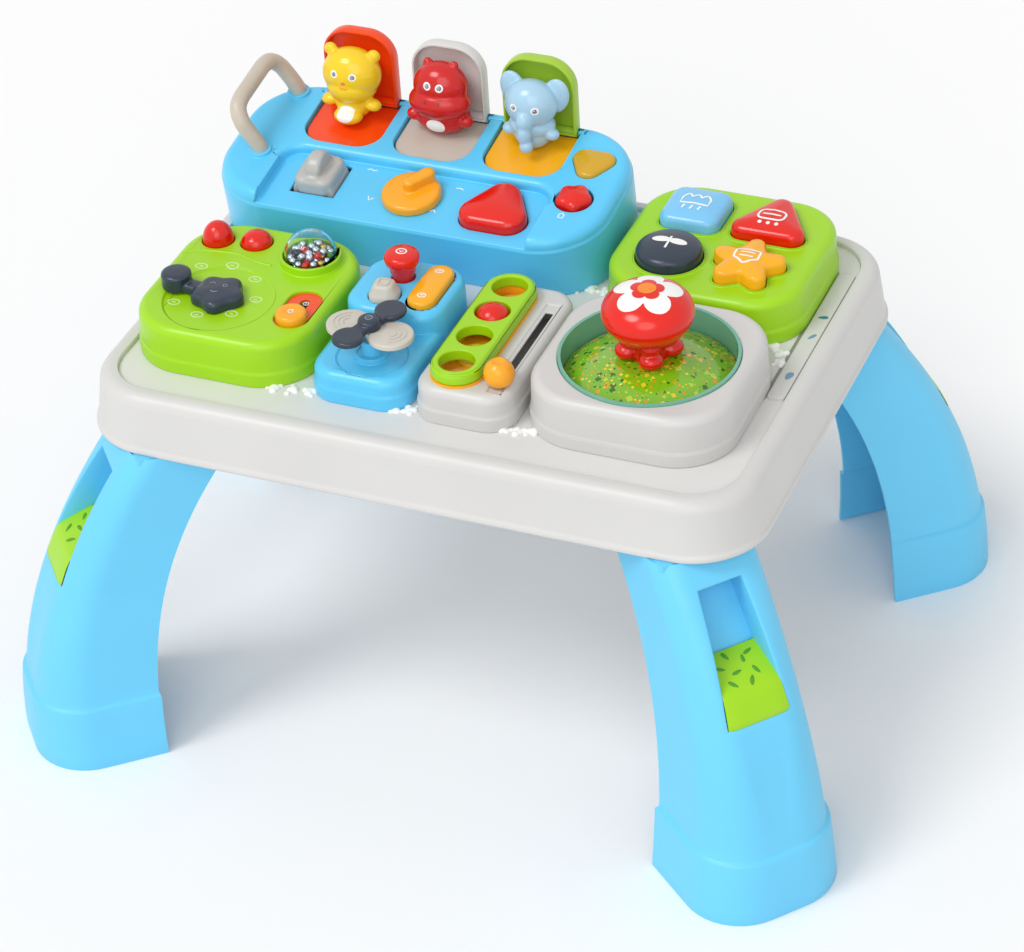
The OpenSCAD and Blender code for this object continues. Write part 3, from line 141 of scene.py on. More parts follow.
PAINTS = {
    "tray_grey": ("D2D1CF", 0.38, 0.10),
    "deck_white": ("DDDCDA", 0.45, 0.10),
    "leg_blue": ("6CCFF8", 0.40, 0.06),
    "module_blue": ("5CCBFA", 0.30, 0.05),
    "leaf_green": ("A0D80A", 0.32, 0.05),
    "module_grey": ("D0CFCD", 0.36, 0.08),
    "signal_red": ("E41600", 0.18, 0.02),
    "flame_orange": ("F4480E", 0.24, 0.02),
    "sun_amber": ("FDB113", 0.24, 0.02),
    "night_navy": ("273445", 0.28, 0.03),
    "knob_grey": ("B9B8B5", 0.30, 0.03),
    "handle_beige": ("C9BEAE", 0.34, 0.05),
    "lid_white": ("D8D6D3", 0.34, 0.05),
    "elephant_blue": ("A9CFE6", 0.22, 0.02),
    "sky_blue": ("7CC7F4", 0.22, 0.02),
    # White for print, and for the painted highlight in the animals' eyes.
    "print_and_glint_white": ("F7F7F5", 0.40, 0.00),
    "screw_steel": ("B8BCC0", 0.30, 0.02),
    # Dark green: a bead colour, and painted shade on the raised leaves of the window hills.
    "dark_green_and_leaf_shade": ("4E9A12", 0.40, 0.04),
    "print_pale_green": ("D9EEAE", 0.40, 0.00),
    "print_grey": ("8F99A5", 0.40, 0.00),
    "warm_orange": ("FA8A14", 0.22, 0.02),
    "warm_amber": ("FBA919", 0.24, 0.02),
    "warm_yellow": ("F4C430", 0.28, 0.02),
    "peach": ("EFA467", 0.30, 0.02),
    "paddle_grey": ("CDC7BC", 0.34, 0.05),
    "lamp_amber": ("D2A31C", 0.20, 0.02),
    "lid_lime": ("A5CC3A", 0.30, 0.04),
    "floor_beige": ("C7BFB4", 0.34, 0.05),
    "bear_yellow": ("F6CE1B", 0.20, 0.02),
    # A deeper copy of the red: painted shade for the hippo under its hood.
    "hippo_shaded_red": ("CC1412", 0.20, 0.02),
    "eye_grey": ("5B6470", 0.30, 0.00),
    "mark_teal": ("2C7F86", 0.40, 0.03),
    "mark_slate": ("6F93B4", 0.40, 0.03),
    "mark_plum": ("8C1A14", 0.35, 0.02),
    "foam_white": ("F6F6F4", 0.55, 0.12),
    # Painted shade: the dark grey of the rim groove's strip.
    "groove_shade_grey": ("8B8A88", 0.50, 0.05),
    "plate_orange": ("F2501A", 0.26, 0.02),
}
paint = {name: plastic(name, code, rough, grain) for name, (code, rough, grain) in PAINTS.items()}
print("plastics:", len(paint))

# %% [markdown]
# ## Clear and glossy finishes
# The clear parts let light through, the beads are plated, and the mushroom turns on a glossy floor with bits of
# coloured foil cast into it. Each bit is one cell of a Voronoi pattern, with a tone and a size of its own.

# %% Clear plastic, bead metal and the confetti floor


def clear_plastic(name, code, rough, share=1.0):
    """Clear moulded plastic: the share of light that goes through, and a slight tint from its thickness."""
    made, tree, shader = new_finish(name)
    shader.inputs["Base Color"].default_value = linear(code)
    shader.inputs["Transmission Weight"].default_value = share
    shader.inputs["IOR"].default_value = 1.3
    place = node_of(tree, "TexCoord", (-900, 0))
    haze = node_of(tree, "TexNoise", (-700, 0), Scale=60.0, Detail=3.0)
    gloss = node_of(tree, "MapRange", (-400, 0), To_Min=rough, To_Max=rough + 0.03)
    wire(tree, (place, "Object", haze, "Vector"), (haze, "Fac", gloss, "Value"),
         (gloss, "Result", shader, "Roughness"))
    return made


def bead_metal(name, code):
    """Bright plated beads, slightly uneven."""
    made = plastic(name, code, 0.16, 0.02, 900.0, 0.12)
    made.node_tree.nodes["Principled BSDF"].inputs["Metallic"].default_value = 0.9
    return made


def confetti(name, code, bits):
    """Glossy floor with small bits of coloured foil cast into it."""
    made = plastic(name, code, 0.16, 0.02, 900.0, 0.10, coat=0.3)
    tree = made.node_tree
    shader = tree.nodes["Principled BSDF"]
    under = shader.inputs["Base Color"].links[0].from_node
    place = node_of(tree, "TexCoord", (-1500, 700))
    for k, (scale, share, tones) in enumerate(bits):
        y = 700 + 400 * k
        spread = node_of(tree, "Mapping", (-1300, y), Location=(0.013 * k, 0.02 * k, 0), Scale=(1, 1, 0.6))
        cells = node_of(tree, "TexVoronoi", (-1100, y), Scale=scale)
        cells.distance = "MANHATTAN"
        parts = node_of(tree, "SeparateColor", (-900, y + 100))
        tone = node_of(tree, "ValToRGB", (-700, y + 100))
        tone.color_ramp.interpolation = "CONSTANT"
        while len(tone.color_ramp.elements) < len(tones):
            tone.color_ramp.elements.new(0.5)
        for j, element in enumerate(tone.color_ramp.elements):
            element.position = j / len(tones)
            element.color = linear(tones[j])
        size = node_of(tree, "Math", (-700, y - 100))
        size.operation = "MULTIPLY"
        size.inputs[1].default_value = share
        inside = node_of(tree, "Math", (-500, y - 100))
        inside.operation = "LESS_THAN"
        mixed = node_of(tree, "Mix", (-300, y - 100))
        mixed.data_type = "RGBA"
        wire(tree, (place, "Object", spread, "Vector"), (spread, "Vector", cells, "Vector"),
             (cells, "Color", parts, "Color"), (parts, "Red", tone, "Fac"), (parts, "Green", size, 0),
             (cells, "Distance", inside, 0), (size, 0, inside, 1), (inside, 0, mixed, "Factor"),
             (under, "Result", mixed, "A"), (tone, "Color", mixed, "B"))
        under = mixed
    wire(tree, (under, "Result", shader, "Base Color"))
    return made


paint["clear_ball"] = clear_plastic("clear_ball", "F2FAFF", 0.02)
paint["clear_teal"] = clear_plastic("clear_teal", "8FD2BC", 0.10, 0.3)
paint["bead_silver"] = bead_metal("bead_silver", "C9CDD2")
paint["bead_gold"] = bead_metal("bead_gold", "C9A24A")
FOIL = [(260.0, 0.75, ["E8D21E", "F29A16", "2F6B12", "B9DA2A"]), (420.0, 0.60, ["F4E04A", "3A7414", "F08A1A"])]
paint["confetti_green"] = confetti("confetti_green", "7FBE16", FOIL)
print("all finishes:", len(paint))

# %% [markdown]
# ## Finishes for the CAD model
# Every solid gets its plastic here, also the ones inside the table and those that a modelled piece covers later.

# %% Finish of the CAD nodes
NODE_PAINT = {
    "tray_grey": ["tray_top", "tray_underside", "battery_door"],
    "deck_white": ["deck_insert"],
    "leg_blue": ["leg_front_left", "leg_front_right", "leg_back_left", "leg_back_right"],
    "leaf_green": ["leg_window_blocks", "dial_housing", "shape_housing", "pod_panel", "lid_right",
                   "circuit_board"],
    "module_blue": ["propeller_housing", "popup_housing", "hinge_rod"],
    "module_grey": ["slider_housing", "mushroom_housing", "cradle_middle"],
    "signal_red": ["dome_left", "dome_right", "red_push_knob", "pea_button", "mushroom_cap", "mushroom_base",
                   "triangle_button", "trigger_button", "red_small_button", "hippo"],
    "plate_orange": ["switch_plate"],
    "flame_orange": ["cradle_left", "lid_left", "rotary_knob", "slider_knob", "switch_slider"],
    "sun_amber": ["yellow_rocker", "pod_floor", "star_button", "amber_light", "cradle_right", "bear"],
    "night_navy": ["dial_crank", "dial_knob", "propeller_navy", "round_button", "speaker"],
    "knob_grey": ["propeller_grey", "grey_push_knob", "toggle_lever"],
    "handle_beige": ["handle"],
    "lid_white": ["lid_middle"],
    "clear_teal": ["clear_bowl"],
    "clear_ball": ["rattle_ball"],
    "bead_silver": ["rattle_beads"],
    "confetti_green": ["confetti_disc"],
    "elephant_blue": ["elephant"],
    "sky_blue": ["square_button"],
    "screw_steel": ["screws", "propeller_axle"],
}


def paint_node(node, material):
    mesh = frame["nodes"][node].data
    mesh.materials.clear()
    mesh.materials.append(material)


for name, nodes in NODE_PAINT.items():
    for node in nodes:
        paint_node(node, paint[name])
print("painted nodes:", sum(len(nodes) for nodes in NODE_PAINT.values()))

# %% [markdown]
# ## Working by hand, in code
# Every piece starts from a primitive. Its vertices are selected by their place, extruded or inset with
# the same operators as by hand, and its modifiers are applied. A few helpers hold the steps that repeat.

# %% Selecting, applying and finishing
BODY_OF = {node: body for body, nodes in record["behaviour"]["bodies"].items() for node in nodes}


def deselect():
    if bpy.context.mode != "OBJECT":
        bpy.ops.object.mode_set(mode="OBJECT")
    bpy.ops.object.select_all(action="DESELECT")


def only(piece):
    """Makes this piece the one that operators act on."""
    deselect()
    piece.select_set(True)
    bpy.context.view_layer.objects.active = piece
    return piece


def modify(piece, kind, **settings):
    """Adds one modifier and applies it at once."""
    only(piece)
    modifier = piece.modifiers.new(kind.lower(), kind)
    for key, value in settings.items():
        setattr(modifier, key, value)
    bpy.ops.object.modifier_apply(modifier=modifier.name)
    return piece


def tidy_mesh(piece, gap=0.01):
    """Merges doubles and turns every face outwards."""
    only(piece)
    bpy.ops.object.mode_set(mode="EDIT")
    bpy.ops.mesh.select_all(action="SELECT")
    bpy.ops.mesh.remove_doubles(threshold=gap * MM)
    bpy.ops.mesh.normals_make_consistent(inside=False)
    bpy.ops.object.mode_set(mode="OBJECT")
    return piece


def join(pieces):
    """One mesh from several."""
    only(pieces[0])
    for piece in pieces[1:]:
        piece.select_set(True)
    if len(pieces) > 1:
        bpy.ops.object.join()
    return pieces[0]


def put(piece, place):
    """Moves a piece to its place and leaves its object at the origin."""
    piece.matrix_world = place @ piece.matrix_world
    only(piece)
    bpy.ops.object.transform_apply(location=True, rotation=True, scale=True)
    return piece


def finish(piece, name, finish_name, node, stands_for=(), angle=40):
    """Names, paints, smooths and hangs a piece on the body of a CAD node."""
    piece.name = piece.data.name = name
    only(piece)
    piece.data.materials.clear()
    piece.data.materials.append(paint[finish_name])
    bpy.ops.object.shade_smooth_by_angle(angle=math.radians(angle))
    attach(piece, BODY_OF[node])
    if stands_for:
        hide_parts(*stands_for)
    print(name, "on", BODY_OF[node], len(piece.data.polygons), "faces")
    return piece


def at(x, y, z, turn=0.0):
    return Matrix.Translation(Vector((x, y, z)) * MM) @ Matrix.Rotation(math.radians(turn), 4, "Z")


# The pop-up module's own sloping plane: u across, v up the slope, w out of it
SLOPE = at(-78.5, 22.054, 296.5) @ Matrix.Rotation(math.radians(8), 4, "X")


# %% [markdown]
# ## Outlines
# Most pieces keep one outline from base to top and only draw in towards their edges. So an outline is a function
# of how far it has grown, and one description gives the wall, the shoulder and the crown.

# %% Outlines that can grow


def corner_outline(corners, radii, steps=8):
    """A polygon with round corners, as a function of how far its edge moves outwards."""
    corners = [Vector(c) for c in corners]

    def outline(grow=0.0):
        points = []
        for k, corner in enumerate(corners):
            before = (corner - corners[k - 1]).normalized()
            after = (corners[(k + 1) % len(corners)] - corner).normalized()
            out_1, out_2 = Vector((before.y, -before.x)), Vector((after.y, -after.x))
            miter = (out_1 + out_2) / (1 + out_1.dot(out_2))
            sign = 1 if before.x * after.y - before.y * after.x > 0 else -1
            radius = max(radii[k % len(radii)] + sign * grow, 0.05)
            centre = corner + miter * (grow - sign * radius)
            turn = out_1.angle_signed(out_2)
            for j in range(steps + 1):
                a = -turn * j / steps
                spoke = Vector((out_1.x * math.cos(a) - out_1.y * math.sin(a),
                                out_1.x * math.sin(a) + out_1.y * math.cos(a)))
                points.append(centre + spoke * radius * sign)
        return points

    return outline


def rounded(length, depth, radius, steps=8):
    a, b = length / 2, depth / 2
    return corner_outline([(a, -b), (a, b), (-a, b), (-a, -b)], [radius], steps)


def disc(radius, count=64):
    return lambda grow=0.0: [(radius + grow) * Vector((math.cos(a), math.sin(a)))
                             for a in (math.tau * k / count for k in range(count))]


def lobes(radius, swell, turn, count):
    """A round outline with five soft lobes."""
    return lambda grow=0.0: [(radius + grow + swell * math.cos(5 * a + turn)) * Vector((math.cos(a), math.sin(a)))
                             for a in (math.tau * k / count for k in range(count))]


def triangle(radius, tip, steps=12):
    reach = radius + tip
    return corner_outline([reach * Vector((math.cos(a), math.sin(a)))
                           for a in (math.pi / 2 + math.tau * k / 3 for k in range(3))], [tip], steps)


def star(radius, tip, valley=3.5, steps=7):
    reach, core = radius - tip, radius / 2
    lean = math.acos((core - tip) / reach)
    corners = []
    for k in range(5):
        a = math.pi / 2 + math.tau * k / 5
        corners.append(core / math.cos(lean) * Vector((math.cos(a), math.sin(a))))
        a += math.pi / 5
        corners.append(core / math.cos(lean - math.pi / 5) * Vector((math.cos(a), math.sin(a))))
    return corner_outline(corners, [tip, valley], steps)


# %% [markdown]
# ## Solids and sheets
# A loft extrudes an outline step by step. A sheet is a grid laid over a surface. Lumps that are melted together
# get the soft joins of a moulding, and a tube follows a smooth line.

# %% Solids and sheets


def loft(outline, steps, place=Matrix.Identity(4)):
    """A closed solid: the outline is extruded from step to step, each (grow, height) or (grow, height, scale)."""
    deselect()
    count = len(outline(0.0))
    bpy.ops.mesh.primitive_circle_add(vertices=count, fill_type="NGON")
    piece = bpy.context.object
    bpy.ops.object.mode_set(mode="EDIT")
    ring = list(range(count))
    for k, (grow, height, *scale) in enumerate(steps):
        if k:
            bpy.ops.mesh.extrude_region_move()
        mesh = bmesh.from_edit_mesh(piece.data)
        mesh.verts.index_update()
        mesh.verts.ensure_lookup_table()
        if k:
            ring = [next(e.other_vert(mesh.verts[i]).index for e in mesh.verts[i].link_edges
                         if e.other_vert(mesh.verts[i]).select) for i in ring]
        share = scale[0] if scale else 1.0
        for i, point in zip(ring, outline(grow)):
            mesh.verts[i].co = Vector((point[0] * share, point[1] * share, height)) * MM
    if steps[-1][2:] == (0.0,):
        bpy.ops.mesh.merge(type="CENTER")
    bmesh.update_edit_mesh(piece.data)
    tidy_mesh(piece, 0.001)
    return put(piece, place)


def arc_steps(edge, height, start=0.0, count=5, to=90.0, rise=None):
    """The steps of a round shoulder that begins at a height and turns inwards."""
    rise = edge if rise is None else rise
    return [(start - edge * (1 - math.cos(t)), height + rise * math.sin(t))
            for t in (math.radians(to * k / count) for k in range(1, count + 1))]


def button_steps(base, top, edge, crown, start=0.0):
    """Straight wall, round shoulder and a crowned top that closes in a pole."""
    shoulder = top - crown - edge
    last = start - edge * (1 - math.cos(math.radians(78)))
    side = [(start, base), (start, shoulder)] + arc_steps(edge, shoulder, start, 5, 78)
    peak = side[-1][1]
    return side + [(last, peak + (top - peak) * (1 - s * s), s) for s in (0.88, 0.72, 0.54, 0.36, 0.18, 0.0)]


def sheet(columns, rows, spot):
    """A grid of columns by rows, each vertex set by spot(column, row)."""
    deselect()
    bpy.ops.mesh.primitive_grid_add(x_subdivisions=columns, y_subdivisions=rows, size=1)
    piece = bpy.context.object
    for vertex in piece.data.vertices:
        column, row = round((vertex.co.x + 0.5) * columns), round((vertex.co.y + 0.5) * rows)
        vertex.co = Vector(spot(column, row)) * MM
    return piece


def ball(centre, radii, turn=(0, 0, 0), segments=32):
    """An ellipsoid, the lump of clay that figures are built from."""
    deselect()
    bpy.ops.mesh.primitive_uv_sphere_add(segments=segments, ring_count=segments // 2, radius=MM,
                                         location=Vector(centre) * MM,
                                         rotation=[math.radians(a) for a in turn])
    bpy.context.object.scale = radii
    bpy.ops.object.transform_apply(location=True, rotation=True, scale=True)
    return bpy.context.object


def melt(parts, voxel=0.7, relax=6):
    """Lumps that touch become one smooth skin."""
    piece = join(parts)
    modify(piece, "REMESH", mode="VOXEL", voxel_size=voxel * MM)
    modify(piece, "SMOOTH", factor=0.5, iterations=relax)
    return piece


def tube(points, radius, closed=False, place=Matrix.Identity(4), around=6):
    """A round bar along a smooth line."""
    deselect()
    bpy.ops.curve.primitive_bezier_curve_add()
    curve = bpy.context.object.data
    spline = curve.splines[0]
    spline.bezier_points.add(len(points) - 2)
    for knot, point in zip(spline.bezier_points, points):
        knot.co = Vector(point) * MM
        knot.handle_left_type = knot.handle_right_type = "AUTO"
    spline.use_cyclic_u = closed
    curve.resolution_u = 10
    curve.bevel_depth, curve.bevel_resolution, curve.use_fill_caps = radius * MM, around, True
    bpy.ops.object.convert(target="MESH")
    return put(bpy.context.object, place)


def mould(outline, steps, place, name, tone, node, angle=40):
    """A lofted piece that stands for one CAD node."""
    return finish(loft(outline, steps, place), name, tone, node, [node], angle)


# %% [markdown]
# ## Printed signs and soft housings
# A sign is a thin sheet of ink that is projected onto the piece below it, so that it follows every crown. The
# last helper copies a solid of the CAD model and rounds its sharp edges.

# %% Thin printed signs


def stroke(points, width=0.9, closed=False):
    """A flat line of ink along a path."""
    points = [Vector(p) for p in points]
    if closed:
        points.append(points[0])
    last = len(points) - 1

    def spot(i, j):
        before = points[i - 1] if i else points[last - 1] if closed else points[0]
        after = points[i + 1] if i < last else points[1] if closed else points[last]
        along = (after - before).normalized()
        side = points[i] + Vector((-along.y, along.x)) * width * (j - 0.5)
        return side.x, side.y, 0

    return sheet(last, 1, spot)


def patch(points, rings=4):
    """A flat filled shape of ink, in rings so that it can follow a dome."""
    points = [Vector(p) for p in points]
    middle = sum(points, Vector((0, 0))) / len(points)
    return sheet(len(points), rings, lambda i, j: (*middle.lerp(points[i % len(points)], j / rings), 0))


def circle(radius, centre=(0, 0), count=24, squash=1.0):
    return [Vector(centre) + radius * Vector((math.cos(a), squash * math.sin(a)))
            for a in (math.tau * k / count for k in range(count))]


def sign(marks, name, ink, node, target, place, scale=1.0, thick=0.14, lift=0.06):
    """Marks joined and pressed onto the surface below them, a tenth of a millimetre thick."""
    piece = tidy_mesh(join(marks))
    bpy.ops.object.mode_set(mode="EDIT")
    bpy.ops.mesh.select_all(action="SELECT")
    bpy.ops.mesh.subdivide(number_cuts=1)
    bpy.ops.object.mode_set(mode="OBJECT")
    piece.matrix_world = place @ Matrix.Scale(scale, 4)
    modify(piece, "SHRINKWRAP", target=target, wrap_method="PROJECT", use_project_z=True,
           use_negative_direction=True, use_positive_direction=True, offset=lift * MM)
    put(piece, Matrix.Identity(4))
    modify(piece, "SOLIDIFY", thickness=thick * MM, offset=1.0)
    return finish(piece, name, ink, node, angle=60)


def soft_copy(node, name, finish_name, width, cuts, wide):
    """A merged copy of a CAD node whose sharp edges get the small radius of a moulding.

    The cuts are the X of planes through its holes: a seam stays there, so that no flat face has a hole inside it.
    Without cuts, as None, all triangles stay.
    """
    source = frame["nodes"][node]
    piece = bpy.data.objects.new(name, source.data.copy())
    bpy.context.scene.collection.objects.link(piece)
    piece.matrix_world = source.matrix_world
    only(piece)
    bpy.ops.object.transform_apply(location=True, rotation=True, scale=True)
    bpy.ops.object.mode_set(mode="EDIT")
    bpy.ops.mesh.select_all(action="SELECT")
    bpy.ops.mesh.remove_doubles(threshold=0.004 * MM)
    for x in cuts or ():
        bpy.ops.mesh.select_all(action="SELECT")
        bpy.ops.mesh.bisect(plane_co=(x * MM, 0, 0), plane_no=(1, 0, 0))
        bpy.ops.mesh.mark_seam()
    if cuts is not None:
        bpy.ops.mesh.select_all(action="SELECT")
        bpy.ops.mesh.dissolve_limited(angle_limit=math.radians(0.6), delimit={"SEAM"})
    if wide:
        chosen, size, steps = wide
        bpy.ops.mesh.select_all(action="DESELECT")
        bpy.ops.mesh.select_mode(type="EDGE")
        mesh = bmesh.from_edit_mesh(piece.data)
        for edge in mesh.edges:
            edge.select_set(edge.is_manifold and edge.calc_face_angle(0) > 0.5
                            and chosen(*(vertex.co / MM for vertex in edge.verts)))
        bmesh.update_edit_mesh(piece.data)
        bpy.ops.mesh.bevel(offset=size * MM, segments=steps, affect="EDGES")
    bpy.ops.object.mode_set(mode="OBJECT")
    modify(piece, "BEVEL", width=width * MM, segments=2, limit_method="ANGLE", angle_limit=math.radians(30),
           use_clamp_overlap=False)
    finish(piece, name, finish_name, node, [node], 40)
    return modify(piece, "WEIGHTED_NORMAL", keep_sharp=True, weight=80)


print("helpers ready")

# %% [markdown]
# ## Housings with moulded edges
# The six module housings, the tray and the pod already have their true shape in the CAD model, only with sharp
# edges. A merged copy of each gets a narrow bevel on every sharp edge, because it is that thin line of light that
# makes a moulding look moulded. The edge of the pop-up module's shelf is a wide soft one, so it is beveled first.

# %% Housings
def on_shelf_edge(*ends):
    """True for the top edge of the shelf's recess, in the pop-up module's own plane."""
    places = [SLOPE.inverted() @ (end * MM) / MM for end in ends]
    return all(abs(p.z) < 0.06 and -95 < p.x < 93 and 40 < p.y < 55.6 for p in places)


soft = {node: soft_copy(node, node + "_moulded", tone, width, cuts, wide)
        for node, tone, width, cuts, wide in (
            ("tray_top", "tray_grey", 1.0, (0.1,), None),
            ("dial_housing", "leaf_green", 0.9, (-180.5, -155.5, -150.6, -113.5, -98.5), None),
            ("propeller_housing", "module_blue", 0.9, (-49.6, -38.5, -26.1), None),
            ("slider_housing", "module_grey", 0.8, None, None),
            ("mushroom_housing", "module_grey", 1.0, (125.1,), None),
            ("shape_housing", "leaf_green", 1.0, (99.1, 150.1), None),
            ("popup_housing", "module_blue", 0.8, (), (on_shelf_edge, 4.5, 5)),
            ("pod_panel", "leaf_green", 1.2, (18.1,), None))}
print("softened housings:", len(soft))

# %% [markdown]
# ## Deck details
# Between the modules the deck carries small white crumbs of relief, like foam on water, and along the right rim a
# raised ledge, a flat dark grey strip beside it as the painted shade of a groove, and three small leaves printed on
# it.

# %% Foam, ledge and leaves
DECK_TOP = 252.9
FOAM = [(-97.5, -113.5), (-86, -112), (-75, -110.5), (-17, -112), (-8.5, -109.5), (51.5, -111), (61.5, -110.5),
        (70, -108), (38.5, 45), (48.5, 46), (58, 46), (177.5, 20), (183.5, 14.5), (186.5, 4.5)]
crumbs = []
for k, (x, y) in enumerate(FOAM):
    for j in range(5):
        a = 2.4 * j + k
        reach = 0.8 + 1.0 * j
        size = 2.7 - 0.25 * j + 0.4 * math.sin(3 * k + j)
        crumbs.append(ball((x + reach * math.cos(a), y + reach * math.sin(a), 253.2),
                           (size, size, size * 0.8), segments=16))
finish(melt(crumbs, 0.5, 3), "deck_foam", "foam_white", "deck_insert", angle=60)
ledge = loft(rounded(11, 142, 2.4), [(0, DECK_TOP), (0, 254.3)] + arc_steps(0.7, 254.3, 0, 3, 85) + [(-2, 255.0)],
             at(196.2, 38, 0))
finish(ledge, "rim_ledge", "tray_grey", "deck_insert")
# The groove is not cut: this flat dark grey strip on the deck is its painted shade.
groove_shade_strip = loft(rounded(2.2, 146, 1.05), [(0, DECK_TOP), (0, 253.08), (-0.3, 253.1)], at(189.0, 38, 0))
finish(groove_shade_strip, "rim_groove_shade", "groove_shade_grey", "deck_insert")
RIM_LEAVES = ((57, 15, "mark_teal", 3.2, 2.2), (35, 60, "mark_slate", 3.6, 1.7), (-9, 80, "mark_slate", 4.2, 2.9))
for k, (y, turn, tone, long, wide) in enumerate(RIM_LEAVES):
    leaf = [Vector((long * math.cos(a), wide * math.sin(a) * (0.75 + 0.25 * math.cos(a))))
            for a in (math.tau * j / 32 for j in range(32))]
    sign([patch(leaf, 3)], f"rim_leaf_{k}", tone, "deck_insert", ledge, at(197.0, y, 258, turn))

# %% [markdown]
# ## Legs
# Each leg is one moulded channel: wide at the foot, swept inward to the table, open behind. It could be cut
# from a block, but a grid that is laid over the leg's own section at every height gives a true wall. Two of the
# grid's columns follow the window's edges, so the pocket is inset and extruded from whole faces.

# %% The leg's section at each height
TRAY_Z, LEG_ANCHOR, LEG_TURN = 217.0, Vector((212.0, 158.5)), math.radians(40)
WINDOW_Z = (128.0, 203.0)
WINDOW_HALF = (22.0, 15.5)
WINDOW_DEPTH = 23.6
LEG_WALL = 3.0
LEG_HEIGHTS = [(0.0, 1.9), (0.9, 2.4), (12.0, 2.4), (24.0, 2.4), (36.0, 2.4), (43.3, 2.4), (44.4, 2.1), (45.1, 1.2),
               (45.5, 0.3), (46.0, 0.0)]
LEG_HEIGHTS += [(46 + 82 * k / 16, 0.0) for k in range(1, 17)]
LEG_HEIGHTS += [(128 + 75 * k / 16, 0.0) for k in range(1, 17)]
LEG_HEIGHTS += [(203 + 14 * k / 4, 0.0) for k in range(1, 5)]
FLANK, BEND, FRONT = 8, 12, 14


def window_half(z):
    low, high = WINDOW_Z
    if z < low:
        return WINDOW_HALF[0] - 15 * ((low - z) / 78) ** 1.3 if z > low - 78 else 7.0
    return WINDOW_HALF[0] + (WINDOW_HALF[1] - WINDOW_HALF[0]) * min(1.0, (z - low) / (high - low))


def leg_section(z, grow):
    """Front line, back line, half width and corner radius of the leg at one height."""
    t = z / TRAY_Z
    return (58.6 - 84 * t ** 2.1 + grow, -17.5 - 72 * t ** 2.6 - grow / 2,
            34 + 13.6 * (1 - t) ** 1.6 + grow, 17 + 18 * (1 - t) + grow)


def front_line(v, z, grow=0.0):
    """How far out the leg's face lies, v from its middle."""
    out, back, half, radius = leg_section(z, grow)
    past = abs(v) - (half - radius)
    return out if past <= 0 else out - radius + math.sqrt(max(0.0, radius ** 2 - past ** 2))


def even(points, count):
    """The same line with evenly spaced points."""
    lengths = [0.0]
    for a, b in zip(points, points[1:]):
        lengths.append(lengths[-1] + (b - a).length)
    made, k = [], 0
    for j in range(count + 1):
        want = lengths[-1] * j / count
        while k < len(points) - 2 and lengths[k + 1] < want:
            k += 1
        made.append(points[k].lerp(points[k + 1], (want - lengths[k]) / max(lengths[k + 1] - lengths[k], 1e-9)))
    return made


def leg_half_path(z, grow):
    """Half of the section, from the back of the flank round to the middle of the front."""
    out, back, half, radius = leg_section(z, grow)
    edge = min(window_half(z), half - 2.0)
    flank = even([Vector((back, half)), Vector((out - radius, half))], FLANK)
    turn = [Vector((front_line(v, z, grow), v)) for v in
            (half - (half - edge) * (1 - math.cos(math.pi / 2 * k / 40)) for k in range(41))]
    face = [Vector((front_line(v, z, grow), v)) for v in (edge * (1 - k / 30) for k in range(31))]
    if z < WINDOW_Z[0] and grow == 0:
        sink = 0.75 * min(1.0, (WINDOW_Z[0] - z) / 4) * max(0.0, min(1.0, (z - 52) / 30))
        face = [Vector((p.x - sink * math.sin(math.pi / 2 * min(1.0, 1.6 * (1 - p.y / edge))) ** 2 * (p.y < edge),
                        p.y)) for p in face]
    return flank + even(turn, BEND)[1:] + even(face, FRONT // 2)[1:]


def leg_matrix(sx, sy):
    """Turns (u outward, v across, z) into the table's own axes for one corner."""
    c, s = math.cos(LEG_TURN), math.sin(LEG_TURN)

    def spot(u, v, z):
        return sx * (LEG_ANCHOR.x + u * c - v * s), sy * (LEG_ANCHOR.y + u * s + v * c), z

    return spot


# %% [markdown]
# ## The legs themselves
# The same half section serves both flanks, and the two halves meet in the middle of the front. The pocket keeps
# a thin lip all round, and a plate closes the channel under the tray.

# %% Four legs with their window pockets
COLUMNS = 2 * (FLANK + BEND) + FRONT
HALF_PATHS = [leg_half_path(z, grow) for z, grow in LEG_HEIGHTS]


